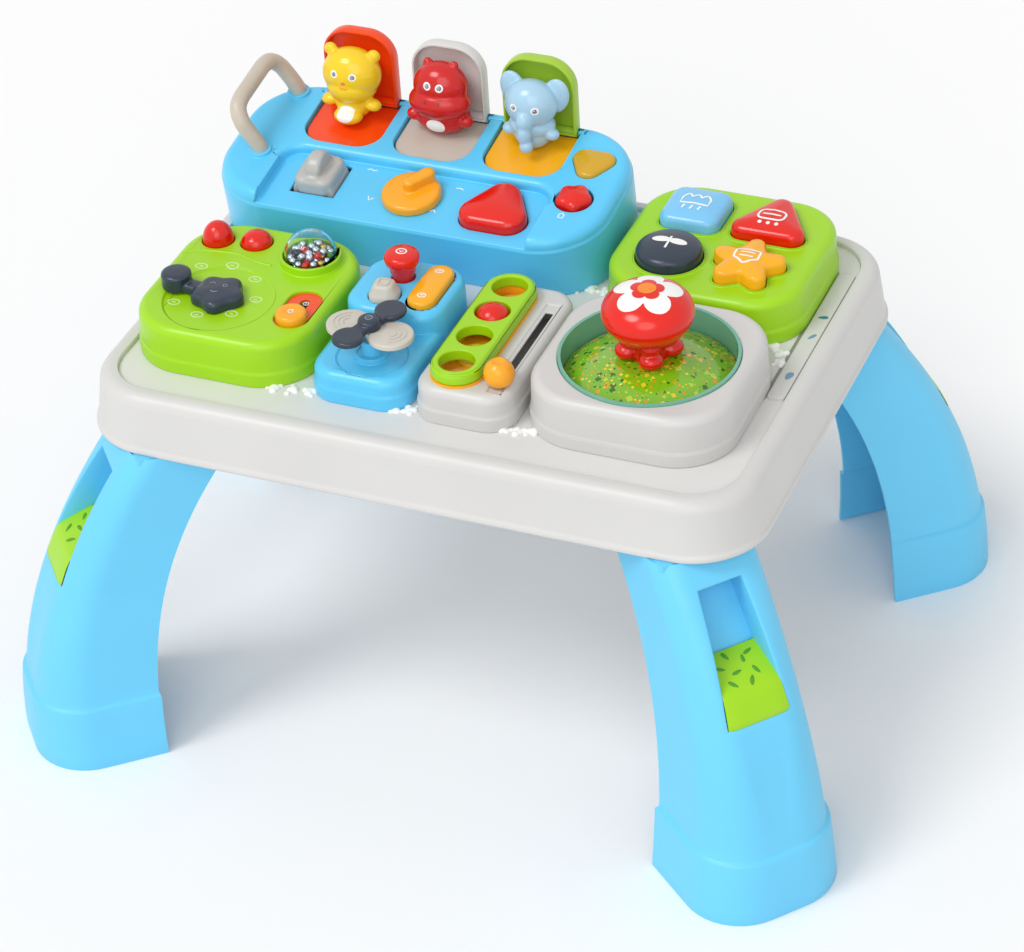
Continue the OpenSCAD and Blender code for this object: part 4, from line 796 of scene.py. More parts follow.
def make_leg(node, sx, sy):
    spot = leg_matrix(sx, sy)

    def vertex(column, row):
        across = column if sx * sy > 0 else COLUMNS - column
        side = min(across, COLUMNS - across)
        u, v = HALF_PATHS[row][side]
        return spot(u, v if across > COLUMNS / 2 else -v, LEG_HEIGHTS[row][0])

    leg = sheet(COLUMNS, len(LEG_HEIGHTS) - 1, vertex)
    outward = Vector(spot(1, 0, 0)) - Vector(spot(0, 0, 0))
    only(leg)
    bpy.ops.object.mode_set(mode="EDIT")
    bpy.ops.mesh.select_all(action="DESELECT")
    bpy.ops.mesh.select_mode(type="FACE")
    mesh = bmesh.from_edit_mesh(leg.data)
    centre = Vector(spot(0, 0, 0))
    for face in mesh.faces:
        middle = face.calc_center_median() / MM
        v = (middle - centre).cross(outward).z
        face.select_set(WINDOW_Z[0] < middle.z < WINDOW_Z[1] and abs(v) < window_half(middle.z) and
                        (middle - centre).dot(outward) > front_line(0, middle.z) - 14)
    bmesh.update_edit_mesh(leg.data)
    bpy.ops.mesh.inset(thickness=0.7 * MM, depth=-0.25 * MM)
    bpy.ops.mesh.inset(thickness=0.3 * MM, depth=-0.7 * MM)
    bpy.ops.mesh.extrude_region_move(TRANSFORM_OT_translate={"value": -outward * WINDOW_DEPTH * 0.5 * MM})
    bpy.ops.mesh.extrude_region_move(TRANSFORM_OT_translate={"value": -outward * WINDOW_DEPTH * 0.5 * MM})
    bpy.ops.object.mode_set(mode="OBJECT")
    modify(leg, "SOLIDIFY", thickness=LEG_WALL * 0.8 * MM, offset=-1.0)
    plate_outline = corner_outline([(-27.5, -31), (-27.5, 31), (-85, 31), (-85, -31)][::-1], [16, 2, 2, 16])
    deselect()
    plate = loft(plate_outline, [(0, 213.2), (0, 217)])
    for vertex in plate.data.vertices:
        vertex.co = Vector(spot(*(vertex.co / MM))) * MM
    if sx * sy < 0:
        plate.data.flip_normals()
    return finish(join([leg, plate]), node.replace("leg", "curved_leg"), "leg_blue", node, [node], 50)


CORNERS = {"leg_front_left": (-1, -1), "leg_front_right": (1, -1),
           "leg_back_left": (-1, 1), "leg_back_right": (1, 1)}
for leg_node, (leg_x, leg_y) in CORNERS.items():
    make_leg(leg_node, leg_x, leg_y)

# %% [markdown]
# ## Green hills in the windows
# A block with leaves on its back fills the lower half of each window. Its front carries on the leg's curve, so
# it is laid out with the same section, as one band that runs round the block, and its two ends are filled.

# %% Hills
HILL_BAND = [(23.2, 128.4), (12.0, 128.4), (0.6, 128.4), (-0.2, 129.4), (-0.2, 133.0), (-0.2, 137.0), (-0.2, 141.0),
             (0.2, 145.2), (0.9, 147.0), (2.2, 148.4), (7.0, 150.9), (13.0, 153.8), (18.0, 156.0), (23.2, 157.6)]
HILL_LEAVES = [(-9, 5, 40), (3, 4, 150), (9, 8, 20), (-3, 10, 100), (-11, 14, 60), (5, 15, 170), (10, 18, 110),
               (-4, 19, 20)]


def make_hill(name, node, sx, sy):
    spot = leg_matrix(sx, sy)

    def vertex(column, row):
        depth, z = HILL_BAND[row]
        v = (column / 12 * 2 - 1) * (window_half(z) - 1.0) * (1 if sx * sy > 0 else -1)
        return spot(front_line(v, z) - depth, v, z)

    hill = sheet(12, len(HILL_BAND) - 1, vertex)
    only(hill)
    bpy.ops.object.mode_set(mode="EDIT")
    bpy.ops.mesh.select_all(action="DESELECT")
    bpy.ops.mesh.select_mode(type="EDGE")
    bpy.ops.mesh.select_non_manifold()
    bpy.ops.mesh.edge_face_add()
    bpy.ops.object.mode_set(mode="OBJECT")
    tidy_mesh(hill)
    leaves = []
    for v, depth, turn in HILL_LEAVES:
        z = 147.3 + depth * 0.46
        leaf = loft(lambda grow: [Vector((3.6 * math.cos(a), 1.5 * math.sin(a) * abs(math.sin(a / 2)) ** 0.4))
                                  for a in (math.tau * k / 20 for k in range(20))],
                    [(0, -1.5), (0, 0.25), (0, 0.5, 0.85), (0, 0.65, 0.0)])
        flat = Matrix.Rotation(math.radians(turn), 4, "Z")
        tilt = Matrix.Rotation(math.radians(25), 4, "Y")
        for point in leaf.data.vertices:
            local = tilt @ flat @ (point.co / MM)
            u = front_line(v * sx * sy, z) - depth + local.x
            point.co = Vector(spot(u, v * sx * sy + local.y * sx * sy, z + local.z)) * MM
        leaves.append(leaf)
    for leaf in leaves:
        tidy_mesh(leaf)
    # The raised leaves are painted a darker green than the hill, as painted shade of their relief.
    finish(join(leaves), name + "_leaves", "dark_green_and_leaf_shade", node)
    return hill


hills = [make_hill(f"window_hill_{k}", "leg_window_blocks", *corner)
         for k, corner in enumerate(CORNERS.values())]
finish(join(hills), "window_hills", "leaf_green", "leg_window_blocks", ["leg_window_blocks"], 45)

# %% [markdown]
# ## Dial module
# A child turns the navy crank round a dial of small signs. The crank's hub, arm and knob are separate lumps that
# are melted together, which gives the soft fillets of a moulded part without drawing each of them.

# %% Crank
HUB = Vector((-150.5, -75.0))
DIAL_TOP = 284.0
CRANK_TURN = 172
CRANK_ANGLE = math.radians(CRANK_TURN)
CRANK_TIP = HUB + 31 * Vector((math.cos(CRANK_ANGLE), math.sin(CRANK_ANGLE)))

crank = melt([
    loft(lobes(16.0, 1.5, 0.6, 72), [(0, 283.2), (0, 287.4)] + arc_steps(4.5, 287.4, 0, 5, 80, 4.0)
         + [(-8, 291.9, 0.6), (-8, 292.2, 0.0)], at(HUB.x, HUB.y, 0)),
    loft(rounded(31, 10.5, 5.2), [(0, 283.9), (0, 287.6)] + arc_steps(3, 287.6, 0, 4, 85, 2.6)
         + [(-3.5, 290.3, 0.0)], at(*((HUB + CRANK_TIP) / 2), 0, CRANK_TURN)),
    loft(disc(9.6), [(-0.6, 284.4), (0, 285.2), (0, 293.4)] + arc_steps(4, 293.4, 0, 5, 80, 2.4)
         + [(-4.5, 296.0, 0.5), (-4.5, 296.2, 0.0)], at(CRANK_TIP.x, CRANK_TIP.y, 0))], 0.6, 8)
finish(crank, "crank_with_knob", "night_navy", "dial_crank", ["dial_crank", "dial_knob"], 60)
sign([stroke([(-7, 3), (-5, 4.6), (-3, 3.4)], 0.6), stroke(circle(1.3, (3.5, 3.2), 14), 0.5, True),
      stroke([(-3, -4.4), (-0.6, -5.2), (1.6, -4.2)], 0.6)],
     "crank_signs", "print_grey", "dial_crank", crank, at(HUB.x, HUB.y, 296))

# %% [markdown]
# ## Beads
# The ball is half filled. Beads lie in rings, layer on layer, and their colours come round in a fixed order.

# %% Beads in the clear ball
BALL_AT = Vector((-113.5, -19.0, 288.0))
bead_piles = {"bead_silver": [], "signal_red": [], "bead_gold": [], "dark_green_and_leaf_shade": [], "night_navy": []}
BEAD_PITCH, BEAD_RADIUS, BALL_INSIDE = 4.9, 2.35, 12.6
order = ["bead_silver", "bead_silver", "signal_red", "bead_silver", "bead_gold", "bead_silver", "dark_green_and_leaf_shade",
         "bead_silver", "bead_silver", "night_navy", "bead_silver"]
count = 0
for layer, height in enumerate((-11.5, -7.6, -3.7, 0.2, 3.6)):
    ring = math.sqrt(BALL_INSIDE ** 2 - height ** 2) - (3.5 if height > 3 else 0)
    while ring > 1.2:
        beads = max(1, int(math.tau * ring / BEAD_PITCH))
        for k in range(beads):
            a = math.tau * k / beads + 0.7 * layer + ring
            pile = bead_piles[order[count % len(order)]]
            spot = Vector((ring * math.cos(a), ring * math.sin(a), height + 0.5 * math.sin(5 * a)))
            pile.append(ball(BALL_AT + spot, [BEAD_RADIUS] * 3, segments=16))
            count += 1
        ring -= BEAD_PITCH
for k, (tone, pile) in enumerate(bead_piles.items()):
    finish(join(pile), f"beads_{k}", tone, "rattle_beads", ["rattle_beads"] if k == 0 else ())
print("beads:", count)

# %% [markdown]
# ## Ridge, signs and switch
# A low wave of relief runs behind the dial, seven small signs lie round it, and an amber disc caps the switch.

# %% Ridge, signs and switch of the dial
ridge = tube([(-196, -35, DIAL_TOP - 0.3), (-186, -29.5, DIAL_TOP - 0.2), (-173, -27, DIAL_TOP - 0.2),
              (-160, -26.5, DIAL_TOP - 0.2), (-147, -30.5, DIAL_TOP - 0.2), (-135, -32, DIAL_TOP - 0.4)], 1.0)
finish(ridge, "dial_ridge", "leaf_green", "dial_housing", angle=60)
SIGN_SPOTS = ((-26, -10.7), (-5.9, -19.1), (14.1, -11.9), (21.9, 6.8), (11.6, 27.4), (-8.2, 36.3), (-26.5, 29.6))
dial = soft["dial_housing"]
marks = []
for k, centre in enumerate(Vector(spot) for spot in SIGN_SPOTS):
    marks.append(stroke([p + centre for p in circle(3.9, count=20, squash=0.72)], 0.8, True))
    marks.append(stroke([centre + Vector((-1.4, 0.5 * (-1) ** k)), centre + Vector((1.4, -0.4))], 0.8))
sign(marks, "dial_signs", "print_pale_green", "dial_housing", dial, at(HUB.x, HUB.y, 283))
slide_disc = mould(disc(9.9), [(0, 282.2), (0, 286.4)] + arc_steps(2.6, 286.4, 0, 5, 80)
                   + [(-4.4, 289.3), (-5.4, 289.1), (-6.4, 288.7), (-6.4, 288.5, 0.4), (-6.4, 288.4, 0.0)],
                   at(-98.5, -81, 0), "switch_disc", "warm_amber", "switch_slider")
sign([stroke(circle(1.6), 0.5, True), stroke([(-1.4, 1.0), (1.4, 2.0)], 0.5)], "switch_disc_sign",
     "print_and_glint_white", "switch_slider", slide_disc, at(-98.5, -81, 289))
sign([stroke(circle(1.7), 0.5, True), stroke([(0, -1), (0, 1.2)], 0.5)], "switch_plate_sign",
     "print_and_glint_white", "switch_plate", frame["nodes"]["switch_plate"], at(-97.5, -62, 282))

# %% [markdown]
# ## Propeller module
# Two pairs of round paddles turn over a dish. Each pair is one outline that is extruded and given soft shoulders;
# shallow curved lines are raised on the grey pair.

# %% Propeller
PROP = Vector((-41.0, -90.0))
GREY_TURN, NAVY_TURN = -8, 70


def paddles(reach, lobe, waist):
    """Outline of two round lobes joined by a waist, as a growing function."""
    def outline(grow=0.0):
        points = []
        for side in (0, 180):
            turn = Matrix.Rotation(math.radians(side), 2)
            open_angle = 180 - math.degrees(math.asin(min(1.0, waist / lobe)))
            points += [turn @ (Vector((reach - lobe, 0)) + (lobe + grow) * Vector((math.cos(a), math.sin(a))))
                       for a in (math.radians(open_angle * (k / 18 - 1)) for k in range(37))]
        return points
    return outline


def paddle_steps(z0, z1, edge):
    return [(-edge * 0.6, z0), (0, z0 + edge * 0.6), (0, z1 - edge)] + arc_steps(edge, z1 - edge, 0, 4, 85)


grey_pair = mould(paddles(29, 14.0, 4.6), paddle_steps(290.2, 294.2, 1.3), at(PROP.x, PROP.y, 0, GREY_TURN),
                  "propeller_grey_pair", "paddle_grey", "propeller_grey")
lines = [stroke([(side * (15 + r * math.cos(a)), r * math.sin(a))
                 for a in (math.radians(d) for d in range(-70, 71, 10))], 0.7)
         for side in (-1, 1) for r in (3.5, 6.5, 9.5)]
sign(lines, "propeller_grey_lines", "paddle_grey", "propeller_grey", grey_pair,
     at(PROP.x, PROP.y, 295, GREY_TURN), thick=0.35)
navy_pair = melt([
    loft(paddles(28.6, 10.0, 5.0), paddle_steps(294.4, 298.4, 1.6), at(PROP.x, PROP.y, 0, NAVY_TURN)),
    loft(disc(7.0), [(0, 294.4), (0, 299.5)] + arc_steps(3, 299.5, 0, 5, 80, 1.8) + [(-3.5, 301.4, 0.0)],
         at(PROP.x, PROP.y, 0))], 0.6, 5)
finish(navy_pair, "propeller_navy_pair", "night_navy", "propeller_navy", ["propeller_navy"], 60)
sign([stroke(circle(2.2), 0.6, True), stroke([(-1, -0.6), (1, 0.8)], 0.6)], "propeller_sign", "print_grey",
     "propeller_navy", navy_pair, at(PROP.x, PROP.y, 302))

# %% [markdown]
# ## Knobs and rocker
# The red knob is a flared turned shape, the grey one a softened block, and the rocker a long button that tilts.

# %% Knobs and rocker
red_knob = mould(disc(0.0), [(7, 283.6), (7, 291.2), (8.0, 292.8), (8.2, 295.8), (9.2, 297.4), (10.5, 299.0),
                             (11.1, 301.2), (11.1, 303.2), (10.6, 304.6), (9.5, 305.6), (7.5, 306.1), (4, 306.5),
                             (4, 306.6, 0.0)], at(-48, -24, 0), "red_knob", "signal_red", "red_push_knob", 70)
sign([stroke(circle(3.2, squash=0.85), 0.9, True), stroke([(-1.2, 0.2), (0, -0.8), (1.2, 0.6)], 0.8)],
     "red_knob_sign", "print_and_glint_white", "red_push_knob", red_knob, at(-48, -24, 308))
grey_knob = mould(rounded(13, 13, 4.2), [(2.8, 283.6), (2.8, 289.8), (2.4, 290.8), (1.4, 292.2), (0.2, 295.0),
                                         (-0.3, 296.2), (-1.2, 296.9), (-2.4, 297.2), (-2.6, 297.2)],
                  at(-51, -46, 0, 8), "grey_knob", "paddle_grey", "grey_push_knob")
sign([stroke(rounded(6.6, 6.6, 1.5, 4)(), 1.0, True)], "grey_knob_frame", "paddle_grey", "grey_push_knob",
     grey_knob, at(-51, -46, 299, 8), thick=0.5)
rocker = mould(rounded(18, 46, 9), button_steps(285.0, 292.9, 2.4, 0.8), at(-26, -32, 0),
               "amber_rocker", "sun_amber", "yellow_rocker")
sign([stroke(circle(2.6, (0, y), squash=0.75), 0.7, True) for y in (-14, 14)]
     + [stroke([(-1, y), (1, y + 0.6)], 0.7) for y in (-14, 14)],
     "rocker_signs", "print_and_glint_white", "yellow_rocker", rocker, at(-26, -32, 294))

# %% [markdown]
# ## Slider module
# A green pod with four round holes lies on a yellow tray, and an orange ball runs along a slot beside it. Three of
# the holes show a coloured floor, which is a low dome, and the fourth holds a red pea that can be pressed.

# %% Pod floors, pea and ball
POD = Vector((18.0, -54.0))
HOLES = [POD.y + (k - 1.5) * 28 for k in range(4)]
for k, (y, tone) in enumerate(zip(HOLES, ("peach", "warm_yellow", None, "peach"))):
    if tone:
        marble = loft(disc(12.0), [(0, 271.6), (0, 272.6)] + arc_steps(6, 272.6, 0, 5, 80, 2.2)
                      + [(-6, 275.4, 0.4), (-6, 275.6, 0.0)], at(POD.x, y - 1.5, 0))
        finish(marble, f"pod_marble_{k}", tone, "pod_floor")
mould(disc(0.0), [(10.6, 277.2), (10.6, 281.6), (10.3, 283.4), (9.4, 285.4), (7.8, 287.4), (5.6, 289.0),
                  (3, 290.1), (3, 290.5, 0.0)], at(POD.x, HOLES[2], 0), "red_pea", "signal_red", "pea_button")
BALL_KNOB, KNOB_Z = 9.5, 284.4
mould(disc(0.0), [(2.3, 274.0), (2.3, 277.2), (6.2, 277.3), (6.6, 277.9)]
      + [(BALL_KNOB * math.cos(a), KNOB_Z + BALL_KNOB * math.sin(a))
         for a in (math.radians(d) for d in range(-40, 72, 8))]
      + [(3.4, 292.6), (2.6, 292.2), (1.2, 292.0), (1.2, 291.9, 0.0)], at(46, -98, 0),
      "orange_ball_knob", "warm_amber", "slider_knob")

# %% [markdown]
# ## Mushroom module
# The cap is a turned shape, so its section is drawn once and carried round. The skirt below it is melted from a
# stem and four drops. White petals and an orange heart are pressed onto the cap.

# %% Mushroom
RING = Vector((125.0, -54.0))
CAP_LINE = [(16.0, 300.4), (18.6, 301.6), (21.2, 303.6), (23.6, 306.2), (25.8, 309.4), (27.4, 312.8), (28.0, 316.2),
            (27.6, 319.4), (26.2, 322.6), (23.8, 325.4), (20.6, 327.8), (16.6, 329.7), (12.0, 331.0), (7.0, 331.8),
            (3.0, 332.0), (3.0, 332.0, 0.0)]
cap = mould(disc(0.0, 96), CAP_LINE, at(RING.x, RING.y, 0), "mushroom_cap_round", "signal_red", "mushroom_cap", 60)
drops = [loft(disc(0.0), [(10.5, 284.4), (10.5, 301.0)], at(RING.x, RING.y, 0))]
for k in range(4):
    a = math.radians(25 + 90 * k)
    x, y = RING.x + 13.2 * math.cos(a), RING.y + 13.2 * math.sin(a)
    drops += [ball((x, y, 290.0), (7.6, 7.6, 5.4)),
              ball((x - 2.5 * math.cos(a), y - 2.5 * math.sin(a), 297), (6.4, 6.4, 6.5))]
skirt = melt(drops, 0.7, 6)
finish(skirt, "mushroom_skirt", "signal_red", "mushroom_base", ["mushroom_base"], 60)


def flower(reach, dip):
    """The outline of five round petals."""
    return [(dip + (reach - dip) * abs(math.cos(5 * (a - 0.5) / 2)) ** 0.55) * Vector((math.cos(a), math.sin(a)))
            for a in (math.tau * k / 120 for k in range(120))]


for k, (name, tone, shape) in enumerate((("white_petals", "print_and_glint_white", flower(21.5, 11.0)),
                                         ("red_petals", "signal_red", flower(10.5, 7.0)),
                                         ("orange_heart", "warm_orange", circle(5.6, count=60)))):
    sign([patch(shape, 18 - 4 * k)], "cap_" + name, tone, "mushroom_cap", cap, at(RING.x, RING.y, 340), thick=0.3,
         lift=0.15 + 0.38 * k)

# %% [markdown]
# ## Shape buttons
# Each button keeps its own outline up to a soft shoulder and then swells to a crown. One helper serves all four;
# the signs on top are plain motifs.

# %% Square, triangle, round and star
SHAPES = (("square", (99, 101), rounded(40, 40, 9), "sky_blue"),
          ("triangle", (150, 99), triangle(26, 8), "signal_red"),
          ("round", (99, 51), disc(21, 96), "night_navy"),
          ("star", (150, 51), star(24, 6), "sun_amber"))
shape_tops = {}
for kind, spot_at, outline, tone in SHAPES:
    edge = 3.4 if kind == "star" else 5.4
    shape_tops[kind] = mould(outline, button_steps(280.5, 296.0, edge, 2.2), at(*spot_at, 0), kind + "_push", tone,
                             kind + "_button", 50)
cloud = [Vector((-7 + 14 * k / 24, 0)) + Vector((0, 2.0 + 2.6 * abs(math.sin(math.pi * 3 * k / 24))))
         for k in range(25)]
SHAPE_SIGNS = {
    "square": [stroke(cloud + [Vector((7, -3)), Vector((-7, -3))], 1.1, True)]
    + [stroke([(x, -5), (x - 0.8, -7.6)], 1.0) for x in (-4, 0, 4)],
    "triangle": [stroke(rounded(13, 8, 2.5, 4)(), 1.1, True), stroke([(-4.5, 0), (4.5, 0)], 1.1)]
    + [patch(circle(1.0, (x, -6.6), 12), 1) for x in (-4.2, 0, 4.2)],
    "round": [patch([(x * 4.6 * math.cos(a) + x * 4.2, 2.4 * math.sin(a) + 1.2)
                     for a in (math.tau * k / 24 for k in range(24))], 2) for x in (-1, 1)]
    + [stroke([(0, -5.5), (0, 1.0), (0, 4.5)], 1.1)],
    "star": [stroke(corner_outline([(-6, -2), (0, -6.5), (6, -2), (6, 4.5), (-6, 4.5)], [1.5], 3)(), 1.1, True)]
    + [stroke([(-3.4, y), (3.4, y)], 0.9) for y in (-1, 2)],
}
for kind, spot_at, outline, tone in SHAPES:
    sign(SHAPE_SIGNS[kind], kind + "_sign", "print_and_glint_white", kind + "_button", shape_tops[kind], at(*spot_at, 300),
         scale=1.3, lift=0.15)

# %% [markdown]
# ## Pop-up module
# Five controls on the sloping top release three lids. Everything here is modelled flat and then tipped onto the
# module's own plane.

# %% Grab handle
FEET_U, FOOT_V, SPAN, SLANT = -108.0, 43.0, 62.0, math.radians(30)


def handle_spot(rise, v):
    return FEET_U - 0.9 - rise * math.sin(SLANT), FOOT_V + v, 5.6 + rise * math.cos(SLANT)


handle_line = [(FEET_U, FOOT_V, -2.0), (FEET_U, FOOT_V, 2.6), handle_spot(2.4, 0), handle_spot(11, 0.0),
               handle_spot(18.4, 1.0), handle_spot(25.2, 5.5), handle_spot(27.6, 12), handle_spot(28, 21),
               handle_spot(28, 31)]
handle_line += [(u, 2 * FOOT_V + SPAN - v, w) for u, v, w in handle_line[-2::-1]]
handle = tube(handle_line, 5.4, place=SLOPE, around=8)
cuffs = [loft(disc(0.0), [(7.8, 0.2), (7.8, 1.0), (7.2, 2.0), (6.0, 2.3), (4.0, 2.3)], SLOPE @ at(FEET_U, v, 0))
         for v in (FOOT_V, FOOT_V + SPAN)]
finish(handle, "grab_handle", "handle_beige", "handle", ["handle"], 60)
finish(join(cuffs), "handle_cuffs", "module_blue", "popup_housing")

# %% [markdown]
# ## Controls on the shelf
# The toggle and the rotary knob are melted from simple lumps, the three push buttons are crowned outlines.

# %% Toggle, rotary knob and push buttons
toggle = melt([
    loft(rounded(26.5, 30.6, 7), [(-1, -9), (0, -8), (0, -1.0)] + arc_steps(4.5, -1.0, 0, 5, 80, 3.6)
         + [(-4.5, 2.8, 0.5), (-4.5, 2.9, 0.0)], SLOPE @ at(-62, 34, 0)),
    loft(disc(14.4), [(-1, -13.5), (0, -12.5), (0, 12.5), (-1, 13.5)],
         SLOPE @ at(-62, 34, -10.6) @ Matrix.Rotation(math.radians(90), 4, "X")),
    loft(disc(11.5), [(-2.6, -5.2), (-0.9, -4.6), (0, -3.0), (0, 3.0), (-0.9, 4.6), (-2.6, 5.2)],
         SLOPE @ at(-62, 34, 1.8) @ Matrix.Rotation(math.radians(90), 4, "Y"))], 0.6, 5)
finish(toggle, "toggle_block", "knob_grey", "toggle_lever", ["toggle_lever"], 60)
rotary = melt([
    loft(disc(19.4), [(0, -6.8), (0, -3.4)] + arc_steps(3.6, -3.4, 0, 5, 82, 3.2)
         + [(-3.6, 0.2, 0.5), (-3.6, 0.4, 0.0)], SLOPE @ at(3, 31, 0)),
    loft(rounded(23, 9.4, 4.6), [(0, -2), (0, 5.6)] + arc_steps(3.2, 5.6, 0, 5, 85, 2.6) + [(-3.4, 8.4, 0.0)],
         SLOPE @ at(3, 31, 0) @ at(4.0, 5.5, 0, 55))], 0.6, 6)
finish(rotary, "rotary_disc", "warm_amber", "rotary_knob", ["rotary_knob"], 60)
mould(triangle(24, 12), button_steps(-10, 3.6, 5.5, 2.0), SLOPE @ at(62, 29, 0),
      "trigger_push", "signal_red", "trigger_button", 50)
mould(triangle(15, 8), button_steps(-6, 4.0, 3.0, 1.2), SLOPE @ at(107, 83, 0, 180),
      "amber_lamp", "lamp_amber", "amber_light", 50)
mould(lobes(11.0, 0.8, 0.0, 80), button_steps(-6, 6.0, 4.0, 1.4), SLOPE @ at(108, 47, 0),
      "red_push", "signal_red", "red_small_button", 50)
shelf_marks = [stroke([(-36, 49.8), (-33.4, 50.6), (-31.4, 49.6), (-29.2, 50.4)], 0.7),
               stroke([(-24.6, 25), (-23.2, 21.4), (-20.8, 24)], 0.8),
               stroke([(19.4, 20.8), (21.6, 22.8), (23.4, 20.4)], 0.8),
               stroke([(27.4, 46.2), (30, 46.8), (32.6, 45.8)], 0.7),
               stroke([(104.4, 27.8), (107.6, 27.8), (107.6, 30.8), (106, 32.4), (104.4, 30.8)], 0.8, True)]
sign(shelf_marks, "shelf_signs", "print_and_glint_white", "popup_housing", soft["popup_housing"], SLOPE @ at(0, 0, 6))

# %% [markdown]
# ## Lids, floors and animals
# Each lid is an arch-shaped shell, drawn as one outline that goes up outside and down inside. Its coloured
# floor and its animal swing with it.

# %% Lids and their floors
HINGES = [Vector((x, 132.113, 310.958)) for x in (-141.5, -79.0, -16.5)]
arch = corner_outline([(-25, -1), (25, -1), (25, 52), (-25, 52)], [1.0, 1.0, 19.0, 19.0], 12)
TIP_UP = Matrix.Rotation(math.radians(90), 4, "X")
LID_STEPS = [(-1.4, -4.0), (-0.4, -3.4), (0, -2.4), (0.0, 4.0), (-0.5, 4.8), (-1.5, 4.8), (-2.0, 4.0), (-2.0, -1.4),
             (-2.6, -2.0)]
lid_tones = (("left", "flame_orange", "flame_orange"), ("middle", "lid_white", "floor_beige"),
             ("right", "lid_lime", "sun_amber"))
floor_outline = corner_outline([(-26.3, -48.2), (26.3, -48.2), (26.3, -2.9), (-26.3, -2.9)],
                               [15.4, 15.4, 1.0, 1.0], 12)
for hinge, (side, lid_tone, floor_tone) in zip(HINGES, lid_tones):
    here = Matrix.Translation(hinge * MM)
    lid = loft(arch, LID_STEPS, here @ TIP_UP)
    barrel = loft(disc(3.2, 32), [(-0.3, -25), (0, -24.7), (0, 24.7), (-0.3, 25)],
                  here @ Matrix.Rotation(math.radians(90), 4, "Y"))
    finish(join([lid, barrel]), f"hood_{side}", lid_tone, "lid_" + side, ["lid_" + side])
    base = loft(floor_outline, [(-0.8, -3.8), (0, -3.3), (0, -2.6), (-0.5, -2.1), (-3, -2.05)],
                here @ Matrix.Rotation(math.radians(8), 4, "X"))
    finish(base, f"floor_{side}", floor_tone, "cradle_" + side, ["cradle_" + side])

# %% [markdown]
# ## Three animals
# Each figure is a handful of balls melted into one smooth skin. The eyes and marks are printed on from the front.

# %% Animals


def from_front(hinge, x, z):
    """A place in front of a lid that looks back at its animal."""
    return Matrix.Translation((hinge + Vector((x, -60, z))) * MM) @ Matrix.Rotation(math.radians(90), 4, "X")


def eyes(name, skin, hinge, spots, size=3.0):
    """Two white rings with grey pupils and a painted white glint on each, pressed on from the front."""
    # The small white dot up and to the left on each pupil is a painted highlight.
    layers = (("eye", "print_and_glint_white", size, 0.14, 0), ("pupil", "eye_grey", size * 0.6, 0.24, 0),
              ("painted_glint", "print_and_glint_white", size * 0.24, 0.32, -0.5))
    for side, (x, z) in zip(("left", "right"), spots):
        for part, tone, radius, thick, dx in layers:
            sign([patch(circle(radius, (dx, -dx), count=32), 3)], f"{name}_{part}_{side}", tone, name, skin,
                 from_front(hinge, x, z), thick=thick, lift=0.1)


def lumps(hinge, parts):
    return [ball(hinge + Vector(centre), radii, (0, turn, 0)) for centre, radii, turn in parts]


bear = melt(lumps(HINGES[0], [((0, -15.5, 28), (20, 15, 17.5), 0), ((0, -17, 20), (17, 14.5, 12), 0),
                              ((-15, -13, 42), (4.6, 3.6, 4.4), -20), ((15.2, -13, 41), (4.6, 3.6, 4.4), 20),
                              ((0, -16, 7), (12.5, 11, 11), 0), ((15, -20, 9), (6, 5, 4), 10),
                              ((-15, -20, 9), (6, 5, 4), -10), ((0, -26, 2), (10, 8, 5.5), 0)]), 0.7, 6)
finish(bear, "yellow_bear", "bear_yellow", "bear", ["bear"], 60)
eyes("bear", bear, HINGES[0], ((-6.6, 33.0), (6.4, 32.4)), 2.5)
hippo = melt(lumps(HINGES[1], [((0, -15.5, 29), (18.5, 14, 16.5), 0), ((0, -18.5, 19.5), (21, 15.0, 12), 0),
                               ((-9, -13, 43), (3.2, 2.8, 3.6), -10), ((9, -13, 43), (3.2, 2.8, 3.6), 10),
                               ((0, -16, 8), (19, 13, 12), 0), ((18, -20, 8), (5, 4.6, 4.4), 0),
                               ((-18, -20, 8), (5, 4.6, 4.4), 0)]), 0.7, 6)
# The hippo's red is darkened as painted shade from its hood.
finish(hippo, "red_hippo", "hippo_shaded_red", "hippo", ["hippo"], 60)
eyes("hippo", hippo, HINGES[1], ((-4.0, 34.6), (4.4, 34.2)), 2.6)
elephant = melt(lumps(HINGES[2], [((0, -16, 27), (17.5, 14.5, 16), 0), ((-14.5, -9.5, 32), (9, 3.4, 12.5), -12),
                                  ((14.5, -9.5, 31), (9, 3.4, 12.5), 12), ((0, -16, 12), (15.5, 12, 8), 0),
                                  ((0, -15.5, 6), (12.5, 11.5, 11), 0),
                                  ((0, -29, 20), (5.8, 6, 7.5), 0), ((0.6, -31.5, 12), (4.6, 4.8, 7.5), -6),
                                  ((2.0, -32.5, 4.5), (4.6, 4.4, 4.6), 0), ((14, -19, 8), (5.5, 4.6, 4), 0),
                                  ((-14, -19, 8), (5.5, 4.6, 4), 0)]), 0.7, 6)
finish(elephant, "blue_elephant", "elephant_blue", "elephant", ["elephant"], 60)
eyes("elephant", elephant, HINGES[2], ((-7.0, 29.5), (7.6, 29.0)), 2.5)
for name, skin, hinge, z, size, flat in (("bear", bear, HINGES[0], 5.0, 5.8, 0.75),
                                         ("hippo", hippo, HINGES[1], 5.6, 6.4, 0.8)):
    sign([patch(circle(size, (0, z), squash=flat), 4)], name + "_patches", "print_and_glint_white", name, skin,
         from_front(hinge, 0, 0), thick=0.2, lift=0.2)
sign([patch(circle(1.7, (0, 27.6), squash=0.7), 3)], "bear_nose", "warm_orange", "bear", bear,
     from_front(HINGES[0], 0, 0), thick=0.3)
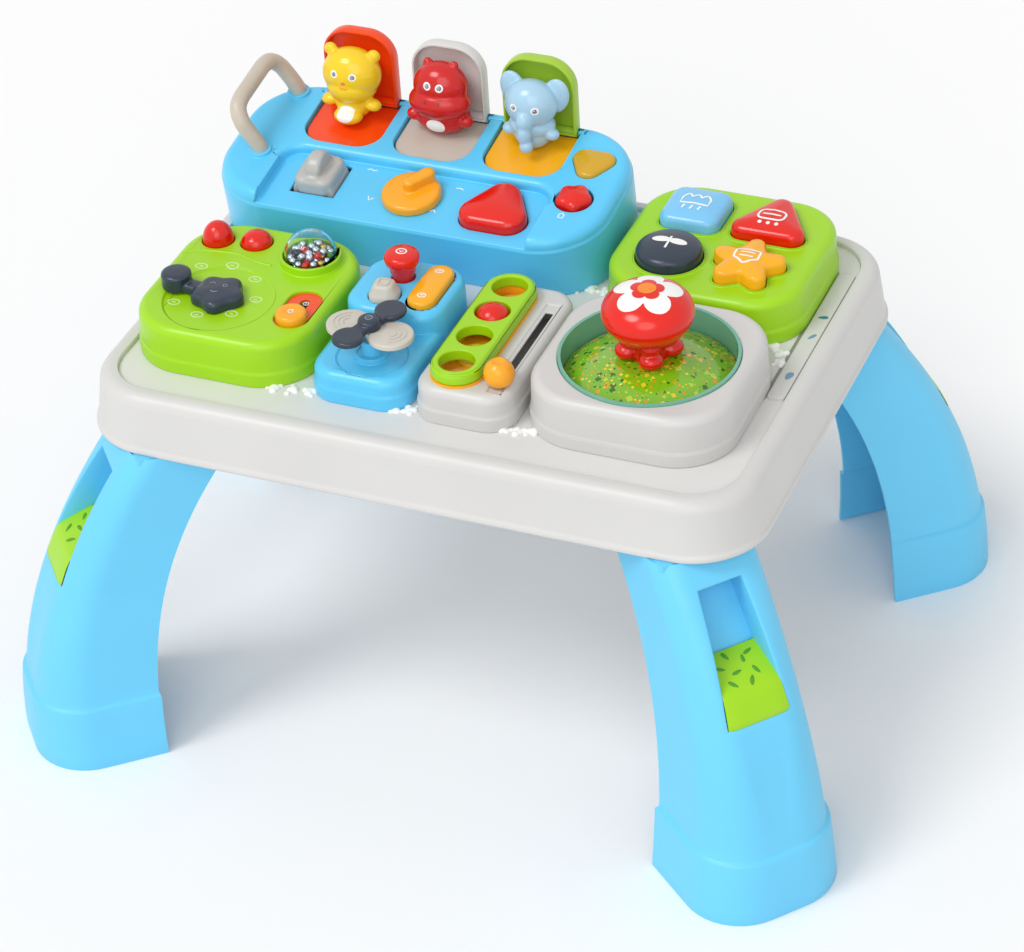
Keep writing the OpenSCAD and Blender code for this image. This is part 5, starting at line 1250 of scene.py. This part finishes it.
sign([stroke([(-2.6, 24.6), (-1.2, 23.6), (0, 24.4), (1.2, 23.6), (2.6, 24.6)], 0.6)], "bear_mouth",
     "warm_orange", "bear", bear, from_front(HINGES[0], 0, 0), thick=0.3)
sign([patch(circle(1.1, (x, 24.5), 16), 2) for x in (-4.5, 4.5)]
     + [stroke([(9 * math.sin(a), 19.5 - 4 * math.cos(a))
                for a in (math.radians(d) for d in range(-60, 61, 10))], 0.6)],
     "hippo_face", "mark_plum", "hippo", hippo, from_front(HINGES[1], 0, 0), thick=0.2)

# %% [markdown]
# ## Floor and light
# A pale floor under a bright sky, one soft sun from the left and a weaker one from the front light the table
# evenly, so each colour shows as it is. The sky is pure white only where the camera or a mirror sees it.

# %% Floor, sky and lamps
bpy.ops.object.select_all(action="DESELECT")
bpy.ops.mesh.primitive_plane_add(size=60)
floor = bpy.context.object
floor.name = "floor"
white_floor, _, floor_shader = new_finish("white_floor")
floor_shader.inputs["Base Color"].default_value = (0.95, 0.95, 0.95, 1)
floor_shader.inputs["Roughness"].default_value = 0.9
floor.data.materials.append(white_floor)

scene = bpy.context.scene
scene.view_settings.view_transform = "Standard"
world = bpy.data.worlds.new("sky")
scene.world = world
world.use_nodes = True
sky = world.node_tree.nodes["Background"]
sky.inputs["Color"].default_value = (1, 1, 1, 1)
seen = node_of(world.node_tree, "LightPath", (-800, 0))
first = node_of(world.node_tree, "Math", (-600, 0))
second = node_of(world.node_tree, "Math", (-400, 0))
first.operation = second.operation = "MAXIMUM"
level = node_of(world.node_tree, "MapRange", (-200, 0), To_Min=0.60, To_Max=1.0)
wire(world.node_tree, (seen, "Is Camera Ray", first, 0), (seen, "Is Glossy Ray", first, 1), (first, 0, second, 0),
     (seen, "Is Transmission Ray", second, 1), (second, 0, level, "Value"), (level, "Result", sky, "Strength"))

LAMPS = (("sun", 1.15, 24, (-0.45, -0.55, 1.0)), ("front_fill", 0.75, 40, (0.25, -0.95, 0.65)))
for name, energy, spread, direction in LAMPS:
    sun_data = bpy.data.lights.new(name, "SUN")
    sun_data.energy = energy
    sun_data.angle = math.radians(spread)
    sun = bpy.data.objects.new(name, sun_data)
    sun.rotation_euler = Vector(direction).to_track_quat("Z", "Y").to_euler()
    scene.collection.objects.link(sun)
print("lamps:", [lamp[0] for lamp in LAMPS])
